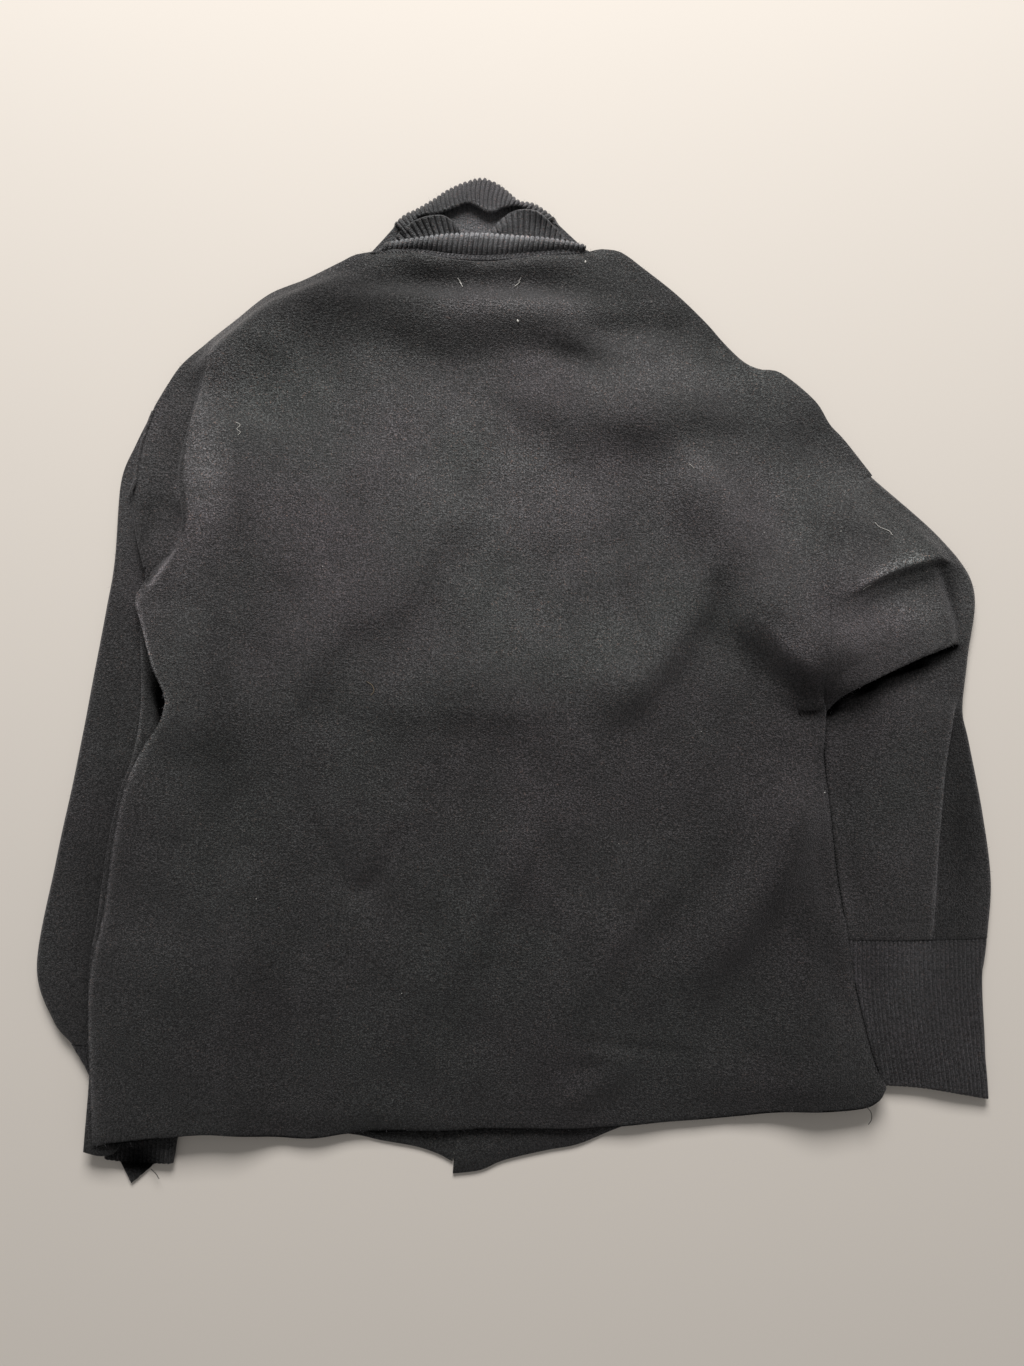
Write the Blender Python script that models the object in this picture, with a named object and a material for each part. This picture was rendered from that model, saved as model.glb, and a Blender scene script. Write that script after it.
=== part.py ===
"""Oversized turtleneck sweater in felted knit, laid flat with its back up.

Metres, +Z up, the resting underside on z = 0.  X runs across the body and +Y towards the collar.
Plan outlines and heights are written in millimetres and turned into metres when a mesh is made.
"""
import bmesh
import bpy
import numpy as np

MM = 0.001

# Driving dimensions, millimetres
WALL = 2.6                 # felted knit
SEAM_GAP = 0.3             # between two pieces that are linked together
BODY_TOP = 8.0             # back panel above the floor, where nothing lies under it
SLEEVE_HEIGHT = 8.0        # a sleeve flattened on the floor
FRONT_LIFT = 8.8           # how far the front panels rise to lie on a sleeve
BACK_LIFT = 8.2            # how far the back panel rises there
SHOULDER_RISE = 1.9        # the front's shoulder edge rises to meet the back's
CUFF_HEIGHT = 7.4
NECK_ROLL_RADIUS = 2.3
ROLL_CENTRE = 13.0
ROLL_DROP = 5.0            # it comes down at both ends, where it meets the shoulders' edges
ROUND_END = 14.0           # how far in from a shoulder edge the loft is back to full
RIDGE_END = 0.3            # share of a fold's length over which it rises and sinks at its ends
STEP_HALF = 0.4            # share of its reach, to each side, over which a step climbs
SEAM_CALM = 12.0           # how far from the armhole seam the pleat is free to overhang
SHOULDER_INSET = 1.0       # the front's shoulder line lies this far under the back's

# How the body climbs onto the sleeves
CLIMB_START = 66.0         # inside a sleeve's inner edge
CLIMB_WIDTH = 50.0
LEFT_CLIMB_TOP = 140.0     # up the body it starts this far above the middle, and over this height
LEFT_CLIMB_FADE = 48.0
RIGHT_CLIMB_TOP = 48.0
RIGHT_CLIMB_FADE = 60.0

# How finely the cloth is faceted
ARMHOLE_POINTS = 9         # body and sleeve share these points along an armhole
BACK_ROWS = 28
BACK_COLUMNS = 22          # to the right of the pleat
FRONT_ROWS = 18
FRONT_COLUMNS = 10
LEFT_SLEEVE_ROWS = 15
RIGHT_SLEEVE_ROWS = 16
CUFF_ROWS = 5
CUFF_POINTS = 7
SECTION_POINTS = 41        # along a sleeve's section line
EVENNESS = 0.2             # share of even spacing mixed into the rows of a tube
PLEAT_SIDE = [0.0, 0.45, 0.68, 0.86, 1.0]
COLLAR_COLUMNS = 21
NECK_SEAM_POINTS = 22
OUTLINE_POINTS = 400
LINE_SAMPLES = 30          # along a crest or an edge that distances are measured from

# Outlines in plan, (x, y) in millimetres
LEFT_SHOULDER = [(-288, 221), (-278, 237), (-266, 254), (-246, 271), (-223, 289), (-196, 310),
                 (-167, 322), (-139, 336), (-127, 342)]
NECK_EDGE = [(-127, 342), (-118, 341), (-109, 339), (-92, 338.5), (-74, 338), (-45, 334), (-16, 333),
             (20, 337), (48, 338), (66, 338.5), (76, 341), (83, 345)]
RIGHT_SHOULDER = [(83, 345), (92, 340), (101, 333), (129, 311), (153, 288), (169, 270), (184, 256),
                  (197, 250), (214, 247), (241, 225), (253, 206), (265, 192), (287, 164)]
LEFT_ARMHOLE = [(-288, 221), (-296, 200), (-301, 180), (-303, 163), (-307, 147), (-302, 119),
                (-294, 92), (-293, 80)]
LEFT_EDGE = [(-293, 80), (-300, 66), (-294, 45), (-289, 12), (-281, -13), (-285, -33), (-299, -59),
             (-311, -92), (-320, -140), (-328, -192), (-336, -226), (-338, -260), (-337, -320),
             (-335, -367)]
RIGHT_ARMHOLE = [(287, 164), (272, 154), (257, 110), (248, 70), (244, 22), (244, -8), (248, -24)]
RIGHT_EDGE = [(248, -24), (252, -63), (258, -120), (266, -175), (275, -237), (287, -295), (296, -324)]
BACK_HEM = [(-335, -367), (-291, -362), (-243, -358), (-171, -364), (-123, -360), (-19, -357),
            (53, -357), (109, -351), (165, -347), (221, -343), (273, -342), (289, -336), (296, -324)]
FRONT_LEFT_EDGE = [(-293, 80), (-299, 66), (-298, 20), (-298, -20), (-304, -58), (-316, -92),
                   (-326, -140), (-333, -192), (-339, -226), (-340, -260), (-339, -310), (-344, -376)]
CENTRE_SEAM = [(-36, 289), (-38, 100), (-40, -150), (-41, -300), (-44, -362), (-50, -387)]
FRONT_LEFT_HEM = [(-344, -376), (-331, -379), (-320, -377), (-312, -368), (-290, -361), (-250, -359),
                  (-190, -359), (-131, -365), (-107, -370), (-79, -375), (-61, -381), (-50, -387)]
FRONT_RIGHT_HEM = [(-49, -397), (-27, -394), (-8, -386), (26, -378), (52, -373), (84, -360),
                   (120, -349), (200, -340), (270, -338), (288, -332), (295, -322)]
FRONT_NECK_LEFT = [(-125, 339), (-118, 316), (-90, 298), (-36, 289)]
FRONT_NECK_RIGHT = [(-36, 289), (20, 292), (60, 304), (80, 342)]
LEFT_SLEEVE_INNER = [(-293, 80), (-288, 62), (-262, 12), (-242, -40), (-232, -100), (-233, -160),
                     (-240, -225), (-248, -280)]
RIGHT_SLEEVE_INNER = [(248, -24), (246, -45), (243, -66), (246, -100), (252, -150), (261, -207)]

# The pleat beside the left armhole: the back lies over itself along this line
#        x     y    step  overhang
PLEAT = [(-238, 271,   0,  0.0),
         (-252, 228,   5,  1.5),
         (-257, 200,  10,  6.0),
         (-261, 165,  13,  9.5),
         (-258, 128,  14,  9.0),
         (-267, 105,  12,  4.0),
         (-281,  88,   7,  0.0),
         (-292,  72,   2,  0.0)]
PLEAT_REACH = 15.0         # cloth on each side of the line that the step takes up
PLEAT_DECAY = 62.0         # beyond it the raised cloth sinks back
GUIDE_MARGIN = 17.0        # below the pleat its line runs on down beside the left edge

# Folds that add to a top surface. Widths are to the left and right of the crest's direction.
#        crest                                                       height  left  right
FOLDS = {
    "neck seam":        ([(-138, 338), (-60, 338), (0, 335), (84, 338)],     6.5, 20, 15),
    "neck ridge":       ([(-155, 306), (-95, 302), (-20, 300), (40, 298), (95, 303)], 9.0, 12, 26),
    "left shoulder":    ([(-262, 235), (-225, 270), (-180, 296), (-118, 322)], 14.0, 20, 34),
    "right shoulder":   ([(-22, 250), (29, 222), (80, 212), (140, 216), (192, 222)], 11.0, 38, 30),
    "right hollow":     ([(50, 276), (100, 282), (150, 281)],               -3.0, 12, 12),
    "blade":            ([(125, 198), (160, 135), (185, 89), (216, 26)],     11.0, 32, 22),
    "blade tail":       ([(182, 115), (141, 53), (101, 1), (55, -40)],       11.0, 17, 30),
    "sleeve into body": ([(160, 66), (195, 48), (228, 18), (262, -2)],       12.0, 40, 15),
    "armhole":          ([(278, 176), (262, 140), (250, 81), (246, 25), (250, -14)], 12.0, 45, 45),
    "waist":            ([(-155, -12), (-80, -19), (0, -20), (75, -15)],     4.0, 34, 16),
    "long diagonal":    ([(0, 157), (-59, 121), (-90, 70), (-140, 42), (-179, -15), (-226, -45)],
                         6.0, 16, 32),
    "mid hollow":       ([(-20, 88), (50, 101), (125, 114)],                -1.5, 16, 16),
    "left ridge":       ([(-256, 75), (-244, 30), (-238, -20), (-258, -75)], 6.0, 26, 24),
    "left crease":      ([(-171, -79), (-127, -167), (-91, -127), (-51, -115)], -2.0, 8, 10),
    "low diagonal":     ([(138, -142), (85, -199), (61, -239), (35, -285)],  5.0, 13, 24),
    "centre diagonal":  ([(30, -85), (6, -140), (-30, -205), (-55, -265)],   3.5, 10, 20),
    "left slope":       ([(-225, -130), (-205, -190), (-215, -255)],         4.0, 22, 30),
    "hem tent":         ([(35, -286), (82, -308), (22, -350)],               4.0, 12, 12),
    "side diagonal":    ([(246, -58), (213, -143), (165, -215), (136, -262)], 11.0, 16, 30),
    "side crease":      ([(246, -130), (252, -210), (268, -290)],           -1.6, 8, 8),
    "tuck ridge":       ([(238, 60), (285, 84), (330, 101), (358, 96)],      5.0, 18, 14),
    "roll":             ([(240, 6), (285, 30), (325, 49), (352, 50)],        5.0, 22, 24),
    "long step":        ([(352, -30), (345, -70), (341, -120), (338, -200)], 2.0, 10, 14),
}
# The roll across the right sleeve lies over the sleeve below it, (x, y, step, overhang)
ROLL = [(246, -31,  0, 0.0),
        (262, -14,  7, 5.0),
        (290,   5, 10, 9.0),
        (320,  19, 10, 9.0),
        (342,  26,  9, 7.0),
        (352,  28,  7, 4.0),
        (362,  29,  1, 0.0)]
ROLL_REACH = 15.0
ROLL_DECAY = 70.0
ROLL_INTO_BODY_X = 250.0   # from the armhole inwards the raised cloth sinks back into the body
ROLL_INTO_BODY = 45.0

# Where the right sleeve's top is free to be lofted
SLEEVE_OUTER = [(287, 164), (344, 114), (370, 74), (365, 18), (361, -22), (366, -48), (384, -160)]
BODY_SIDE = [(-330, 300), (-24, 252)]      # y and x of the body's side, which covers the sleeve
BODY_SIDE_FADE = 18.0
ROLL_FOOT = [(250, -50), (360, -10)]       # x and y of a line just below the roll
ROLL_FOOT_FADE = 30.0

# Flattened tubes: a row for each section, from its inner edge through its middle to its outer edge
LEFT_SLEEVE = [
    LEFT_ARMHOLE[::-1],
    [(-292, 72), (-303, 106), (-309.5, 146), (-308, 168), (-303, 192)],
    [(-287, 58), (-300, 86), (-311, 126), (-316, 160)],
    [(-277, 34), (-298, 56), (-321, 98)],
    [(-262, 6), (-292, 26), (-328, 58)],
    [(-242, -40), (-285, -28), (-340, -4)],
    [(-232, -100), (-288, -92), (-353, -72)],
    [(-233, -160), (-300, -154), (-369, -146)],
    [(-240, -225), (-311, -227), (-384, -228)],
    [(-246, -264), (-306, -269), (-371, -272)],
    [(-248, -290), (-299, -295), (-356, -291)],
]
LEFT_CUFF = [
    [(-248, -290.8), (-299, -295.8), (-356, -291.8)],
    [(-256, -315), (-298, -319), (-342, -317)],
    [(-268, -350), (-299, -352), (-331, -351)],
    [(-274, -387), (-302, -386), (-330, -383)],
]
LEFT_CUFF_TONGUE = 17.0    # the under side of this mouth reaches further than its upper side
TONGUE_SHARES = [-0.5, 0.25, 0.6]          # where it starts, comes to a point and ends, -1 to 1
RIGHT_SLEEVE = [
    RIGHT_ARMHOLE[::-1],
    [(248.4, -25), (262, 25), (286, 78), (320, 112), (344, 114)],
    [(248.8, -27), (286, 22), (328, 57), (370, 74)],
    [(249.5, -31), (289, -6), (327, 10), (365, 18)],
    [(247, -44), (296, -40), (361, -22)],
    [(243, -66), (301, -72), (366, -48)],
    [(246, -100), (311, -104), (377, -106)],
    [(252, -150), (316, -156), (384, -160)],
    [(261, -207), (320, -207), (381, -206)],
]
RIGHT_CUFF = [
    [(261, -207.8), (320, -207.8), (381, -206.8)],
    [(266, -240), (322, -241), (377, -242)],
    [(272, -285), (325, -286), (379, -287)],
    [(279, -323), (329, -326), (382, -335)],
]

# Collar, plan lines in millimetres
COLLAR_CREST = [(-103, 349), (-90, 353), (-70, 355.5), (-38, 358), (0, 357), (30, 355.5), (46, 353),
                (58, 349)]
COLLAR_ROLL = [(-117, 345), (-105, 342.6), (-90, 342.2), (-74, 343), (-45, 339), (-16, 338), (20, 341),
               (48, 343), (64, 343), (73, 345.6)]
LOBE_TOP = [(-94, 350), (-88, 354), (-77, 361), (-66, 367), (-57, 370), (-50, 367), (-42, 360),
            (-28, 357.5), (-19, 359), (-12, 366), (-3, 372.5), (7, 374), (15, 371), (27, 361.5), (38, 355),
            (50, 349)]
LOBE_FOOT = [(-88, 345), (-60, 349), (-38, 352), (-10, 351), (20, 349), (43, 345)]
COLLAR_FOOT = [(-118, 339), (-110, 320), (-86, 302), (-36, 292), (18, 295), (52, 309), (70, 337)]
FAR_EDGE = [(-94, 367), (-87, 373), (-78, 377), (-66, 384), (-52, 393), (-38, 399), (-26, 402),
            (-16, 399), (-6, 392), (3, 384), (14, 382), (22, 378), (31, 371)]
LIP_EDGE = [(-87, 358), (-81, 367), (-74, 373), (-60, 375), (-49, 379), (-38, 383), (-31, 381),
            (-22, 376), (-15, 376), (-9, 379), (1, 381), (9, 379), (17, 374), (25, 367)]

# Heights of the collar's rows above the floor: one list for each row, along it from left to right
COLLAR_BACK_HEIGHTS = [[10, 13.5, 13.5, 13.5, 10],
                       [12, 16, 16.5, 16, 12],
                       [13, 18, 19, 18, 13],
                       [13, 17, 18, 17, 13],
                       [10.5, 14, 14.5, 14, 10.5]]
LOBE_HEIGHTS = [[6.6, 7.5, 7.5, 7.5, 6.6],
                [7, 9, 9, 9, 7],
                [7, 12, 11, 12, 7],
                [7, 10, 15, 15, 9.5, 8.5, 9.5, 15, 16, 10, 7]]
COLLAR_FRONT_HEIGHTS = [1.3, 1.4, 1.7, 2.0, 5.7, 9.3, 11.4, 10.8]

KNIT_COLOUR = (0.045, 0.043, 0.044, 1.0)
RIB_COLOUR = (0.052, 0.050, 0.052, 1.0)


def smooth(t):
    """Ease from 0 to 1."""
    t = np.clip(t, 0.0, 1.0)
    return t * t * (3.0 - 2.0 * t)


def curve(points, at):
    """Points of a smooth curve through the given ones, at shares of its length."""
    p = np.array(points, dtype=float)
    p = np.vstack([2 * p[0] - p[1], p, 2 * p[-1] - p[-2]])
    t = np.linspace(0.0, 1.0, 12, endpoint=False)[:, None]
    spans = []
    for a, b, c, d in zip(p, p[1:], p[2:], p[3:]):
        spans.append(0.5 * (2 * b + (c - a) * t + (2 * a - 5 * b + 4 * c - d) * t ** 2
                            + (3 * b - a - 3 * c + d) * t ** 3))
    fine = np.vstack(spans + [p[-2:-1]])
    run = np.append(0.0, np.cumsum(np.hypot(*np.diff(fine[:, :2], axis=0).T)))
    want = np.asarray(at) * run[-1]
    return np.column_stack([np.interp(want, run, column) for column in fine.T])


def spaced(count, first, middle, last):
    """Shares 0 to 1 whose steps grow from first to middle and shrink to last, as weights."""
    steps = np.interp(np.linspace(0.0, 1.0, count - 1), [0.0, 0.4, 0.8, 1.0],
                      [first, middle, middle, last])
    return np.append(0.0, np.cumsum(steps)) / steps.sum()


def nearest(x, y, path):
    """Signed distance to a polyline, positive on its left, and the share of its length there."""
    best = np.full(np.shape(x), np.inf)
    side = np.ones(np.shape(x))
    along = np.zeros(np.shape(x))
    spans = len(path) - 1
    for k in range(spans):
        ax, ay = path[k, :2]
        bx, by = path[k + 1, :2] - path[k, :2]
        t = np.clip(((x - ax) * bx + (y - ay) * by) / (bx * bx + by * by), 0.0, 1.0)
        dx = x - ax - t * bx
        dy = y - ay - t * by
        square = dx * dx + dy * dy
        closer = square < best
        best = np.where(closer, square, best)
        side = np.where(closer, np.where(bx * dy - by * dx >= 0.0, 1.0, -1.0), side)
        along = np.where(closer, (k + t) / spans, along)
    return side * np.sqrt(best), along


def folds(x, y):
    """Sum of the soft ridges and hollows at plan points."""
    total = np.zeros(np.shape(x))
    for crest, height, left, right in FOLDS.values():
        path = curve(crest, np.linspace(0.0, 1.0, LINE_SAMPLES))
        away, along = nearest(x, y, path)
        width = np.where(away > 0.0, left, right)
        fade = smooth(along / RIDGE_END) * smooth((1.0 - along) / RIDGE_END)
        total = total + height * fade * np.exp(-(away / width) ** 2)
    return total


def step_over(x, y, line, reach, decay):
    """A step where cloth lies over itself: its height, and the plan shift that makes it overhang."""
    path = curve(line, np.linspace(0.0, 1.0, LINE_SAMPLES))
    away, along = nearest(x, y, path)
    at = along * (len(path) - 1)
    step = np.interp(at, np.arange(len(path)), path[:, 2])
    overhang = np.interp(at, np.arange(len(path)), path[:, 3])
    share = away / reach
    beyond = np.clip(away - reach, 0.0, None)
    rise = step * smooth((share + STEP_HALF) / (2 * STEP_HALF)) * np.exp(-(beyond / decay) ** 2)
    back = np.where(np.abs(share) < 1.0, -overhang * np.sin(np.pi * share), 0.0)
    slope = np.gradient(path[:, :2], axis=0)
    normal = np.column_stack([-slope[:, 1], slope[:, 0]])
    normal = normal / np.linalg.norm(normal, axis=1)[:, None]
    nx = np.interp(at, np.arange(len(path)), normal[:, 0])
    ny = np.interp(at, np.arange(len(path)), normal[:, 1])
    return rise, back * nx, back * ny


def over_sleeve(x, y):
    """How far the body has climbed onto a sleeve at plan points, 0 to 1."""
    left = np.array(LEFT_SLEEVE_INNER, dtype=float)[::-1]
    right = np.array(RIGHT_SLEEVE_INNER, dtype=float)[::-1]
    left_inner = np.interp(y, left[:, 1], left[:, 0])
    right_inner = np.interp(y, right[:, 1], right[:, 0])
    climb_left = smooth((left_inner + CLIMB_START - x) / CLIMB_WIDTH)
    climb_left = climb_left * smooth((LEFT_CLIMB_TOP - y) / LEFT_CLIMB_FADE)
    climb_right = smooth((x - right_inner + CLIMB_START) / CLIMB_WIDTH)
    climb_right = climb_right * smooth((RIGHT_CLIMB_TOP - y) / RIGHT_CLIMB_FADE)
    return np.maximum(climb_left, climb_right)


def shoulder_share(x, y):
    """0 on a shoulder's edge, 1 where the loft behind it is full."""
    left, _ = nearest(x, y, curve(LEFT_SHOULDER, np.linspace(0.0, 1.0, LINE_SAMPLES)))
    right, _ = nearest(x, y, curve(RIGHT_SHOULDER, np.linspace(0.0, 1.0, LINE_SAMPLES)))
    return smooth(np.minimum(np.abs(left), np.abs(right)) / ROUND_END)


def garment_top(x, y):
    """Height of the folds on top of the whole garment, body and sleeves alike."""
    roll, _, _ = step_over(x, y, ROLL, ROLL_REACH, ROLL_DECAY)
    into_body = np.exp(-(np.clip(ROLL_INTO_BODY_X - x, 0.0, None) / ROLL_INTO_BODY) ** 2)
    return folds(x, y) + roll * into_body


def patch(top, bottom, left, right):
    """Plan points filled in between four boundary curves that meet at their ends."""
    u = spread(top)[None, :, None]
    v = spread(left)[:, None, None]
    across = (1 - v) * top[None] + v * bottom[None]
    down = (1 - u) * left[:, None] + u * right[:, None]
    corners = ((1 - u) * (1 - v) * top[0] + u * (1 - v) * top[-1]
               + (1 - u) * v * bottom[0] + u * v * bottom[-1])
    return across + down - corners


def spread(points):
    """Shares of length at the points of a curve."""
    run = np.append(0.0, np.cumsum(np.linalg.norm(np.diff(points, axis=0), axis=1)))
    return run / run[-1]


def normals(grid):
    """Unit normals of a grid of points, up where rows run down the body and columns across it."""
    down = np.gradient(grid, axis=0)
    across = np.gradient(grid, axis=1)
    n = np.cross(down, across)
    return n / np.linalg.norm(n, axis=2)[:, :, None]


def knit_material(name, colour):
    """Matt felted wool."""
    material = bpy.data.materials.new(name)
    material.use_nodes = True
    shader = material.node_tree.nodes["Principled BSDF"]
    shader.inputs["Base Color"].default_value = colour
    shader.inputs["Roughness"].default_value = 0.95
    shader.inputs["Metallic"].default_value = 0.0
    return material


def make_object(name, vertices, faces, colour):
    """A named object in metres from points in millimetres."""
    mesh = bpy.data.meshes.new(name)
    mesh.from_pydata([tuple(float(c) * MM for c in v) for v in vertices], [], faces)
    body = bmesh.new()
    body.from_mesh(mesh)
    bmesh.ops.triangulate(body, faces=body.faces[:])
    bmesh.ops.recalc_face_normals(body, faces=body.faces[:])
    body.to_mesh(mesh)
    body.free()
    mesh.shade_smooth()
    mesh.materials.append(knit_material(name, colour))
    thing = bpy.data.objects.new(name, mesh)
    bpy.context.scene.collection.objects.link(thing)
    return thing


def cloth_sheet(name, middle, colour, upright_rim=False):
    """A panel: its middle surface thickened to both sides and closed round its edge."""
    rows, columns = middle.shape[:2]
    half = normals(middle) * WALL / 2
    if upright_rim:
        for rim in (half[0], half[-1], half[:, 0], half[:, -1]):
            rim[:] = (0.0, 0.0, WALL / 2)
    vertices = np.vstack([(middle + half).reshape(-1, 3), (middle - half).reshape(-1, 3)])
    under = rows * columns
    faces = []
    for r in range(rows - 1):
        for c in range(columns - 1):
            a = r * columns + c
            quad = (a, a + columns, a + columns + 1, a + 1)
            faces.append(quad)
            faces.append(tuple(under + k for k in reversed(quad)))
    rim = [c for c in range(columns)]
    rim += [r * columns + columns - 1 for r in range(1, rows)]
    rim += [(rows - 1) * columns + c for c in range(columns - 2, -1, -1)]
    rim += [r * columns for r in range(rows - 2, 0, -1)]
    for a, b in zip(rim, rim[1:] + rim[:1]):
        faces.append((a, b, under + b, under + a))
    return make_object(name, vertices, faces, colour)


def ring_shares(count, half_width, height, inset=0.0):
    """Points round a flattened ring: share across from -1 to 1, and height. Inset gives the inside."""
    radius = height / 2 - inset
    flat = (half_width - height / 2) / half_width
    arc = np.radians([-60.0, 0.0, 60.0])
    bulge = radius / half_width
    bottom = [(a, inset) for a in np.linspace(-flat, flat, count)]
    right = [(flat + np.cos(k) * bulge, height / 2 + np.sin(k) * radius) for k in arc]
    top = [(a, height - inset) for a in np.linspace(flat, -flat, count)]
    left = [(-a, height - h) for a, h in right]
    return np.array(bottom + right + top + left)


def section_loft(sections, rows):
    """A function of (row, share across) through plan sections, smooth along the tube."""
    fine = np.linspace(0.0, 1.0, SECTION_POINTS)
    lines = np.array([curve(section, fine) for section in sections])
    middles = lines[:, SECTION_POINTS // 2]
    shares = spread(middles)
    stations = np.interp(np.linspace(0.0, 1.0, rows), np.linspace(0.0, 1.0, len(sections)), shares)
    stations = EVENNESS * np.linspace(0.0, 1.0, rows) + (1.0 - EVENNESS) * stations
    stacked = lines.reshape(len(sections), -1)
    loft = np.empty((rows, stacked.shape[1]))
    padded = np.vstack([2 * stacked[0] - stacked[1], stacked, 2 * stacked[-1] - stacked[-2]])
    for r, s in enumerate(stations):
        k = min(int(np.searchsorted(shares, s, side="right")) - 1, len(sections) - 2)
        t = (s - shares[k]) / (shares[k + 1] - shares[k])
        a, b, c, d = padded[k:k + 4]
        loft[r] = 0.5 * (2 * b + (c - a) * t + (2 * a - 5 * b + 4 * c - d) * t ** 2
                         + (3 * b - a - 3 * c + d) * t ** 3)
    return loft.reshape(rows, SECTION_POINTS, 2)


def tube_ring(line, shares, height, top, tongue):
    """One ring of a tube: plan points on its section line, lifted by the folds on its top."""
    fine = np.linspace(-1.0, 1.0, SECTION_POINTS)
    x = np.interp(shares[:, 0], fine, line[:, 0])
    y = np.interp(shares[:, 0], fine, line[:, 1])
    raised = shares[:, 1] / height
    reach = tongue * (1.0 - raised) * np.interp(shares[:, 0], TONGUE_SHARES, [0.0, 1.0, 0.0])
    return np.column_stack([x, y - reach, shares[:, 1] + raised * top(x, y)])


def flat_tube(name, sections, rows, count, height, top, colour, tongue=0.0):
    """A flattened, open-ended tube of cloth through plan sections, its underside on the floor."""
    outer = []
    inner = []
    for r, line in enumerate(section_loft(sections, rows)):
        half = np.linalg.norm(np.diff(line, axis=0), axis=1).sum() / 2
        reach = tongue * (r / (rows - 1)) ** 3
        outer.append(tube_ring(line, ring_shares(count, half, height), height, top, reach))
        inner.append(tube_ring(line, ring_shares(count, half, height, WALL), height, top, reach))
    points = len(outer[0])
    total = rows * points
    faces = []
    for r in range(rows - 1):
        for k in range(points):
            a = r * points + k
            b = r * points + (k + 1) % points
            quad = (a, b, b + points, a + points)
            faces.append(quad)
            faces.append(tuple(total + q for q in reversed(quad)))
    for r in (0, rows - 1):
        for k in range(points):
            a = r * points + k
            b = r * points + (k + 1) % points
            faces.append((a, b, total + b, total + a))
    return make_object(name, np.vstack(outer + inner), faces, colour)


def offset(points, distance):
    """Plan points moved sideways, to the left of their direction."""
    slope = np.gradient(points, axis=0)
    side = np.column_stack([-slope[:, 1], slope[:, 0]])
    return points + distance * side / np.linalg.norm(side, axis=1)[:, None]


def panel_side(armhole, edge, rows, sideways):
    """A panel's side: down the armhole on the points of the sleeve's own ring, then down the edge."""
    length = np.linalg.norm(np.diff(curve(armhole, np.linspace(0, 1, 50)), axis=0), axis=1).sum()
    margin = SLEEVE_HEIGHT / 2 / length
    shares = np.concatenate([[0.0], np.linspace(margin, 1.0 - margin, ARMHOLE_POINTS), [1.0]])
    seam = offset(curve(armhole, shares), sideways)
    below = curve([tuple(seam[-1])] + edge[1:], np.linspace(0.0, 1.0, rows - ARMHOLE_POINTS - 1))
    return np.vstack([seam, below[1:]])


def back_panel():
    """The whole back: two fields of columns that meet on the pleat's line."""
    left = panel_side(LEFT_ARMHOLE, LEFT_EDGE, BACK_ROWS, SEAM_GAP)
    right = panel_side(RIGHT_ARMHOLE, RIGHT_EDGE, BACK_ROWS, -SEAM_GAP)
    beside_edge = [(x + GUIDE_MARGIN, y) for x, y in LEFT_EDGE[1:]]
    guide = curve([point[:2] for point in PLEAT[:-2]] + beside_edge, spread(left))
    crown = [tuple(left[0])] + LEFT_SHOULDER[1:] + NECK_EDGE[1:] + RIGHT_SHOULDER[1:-1]
    outline = curve(crown + [tuple(right[0])], np.linspace(0.0, 1.0, OUTLINE_POINTS))
    split = int(np.argmin(np.hypot(*(outline - guide[0]).T)))
    guide[0] = outline[split]
    beyond = spaced(BACK_COLUMNS, 5.0, 28.0, 18.0)
    top_left = curve(outline[:split + 1], PLEAT_SIDE)
    top_right = curve(outline[split:], beyond)
    hem = curve(BACK_HEM, np.linspace(0.0, 1.0, OUTLINE_POINTS))
    foot = int(np.argmin(np.hypot(*(hem - guide[-1]).T)))
    guide[-1] = hem[foot]
    hem_left = curve(hem[:foot + 1], PLEAT_SIDE)
    hem_right = curve(hem[foot:], beyond)
    plan = np.hstack([patch(top_left, hem_left, left, guide)[:, :-1],
                      patch(top_right, hem_right, guide, right)])
    x, y = plan[:, :, 0], plan[:, :, 1]
    rise, dx, dy = step_over(x, y, PLEAT, PLEAT_REACH, PLEAT_DECAY)
    seam, _ = nearest(x, y, left[:ARMHOLE_POINTS + 2])
    free = smooth(np.abs(seam) / SEAM_CALM)
    loft = (garment_top(x, y) + rise) * shoulder_share(x, y)
    z = BODY_TOP - WALL / 2 + BACK_LIFT * over_sleeve(x, y) + loft
    return cloth_sheet("back", np.dstack([x + dx * free, y + dy * free, z]), KNIT_COLOUR, True)


def front_height(x, y):
    """Middle of a front panel: on the floor, and up where it lies on a sleeve or meets the back."""
    edge = 1.0 - shoulder_share(x, y)
    climb = over_sleeve(x, y)
    return WALL / 2 + FRONT_LIFT * climb + SHOULDER_RISE * edge * (1.0 - climb)


def front_panel(name, top, hem, left, right):
    """Half of the front, on the floor beneath the back."""
    plan = patch(top, hem, left, right)
    x, y = plan[:, :, 0], plan[:, :, 1]
    return cloth_sheet(name, np.dstack([x, y, front_height(x, y)]), KNIT_COLOUR, True)


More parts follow.
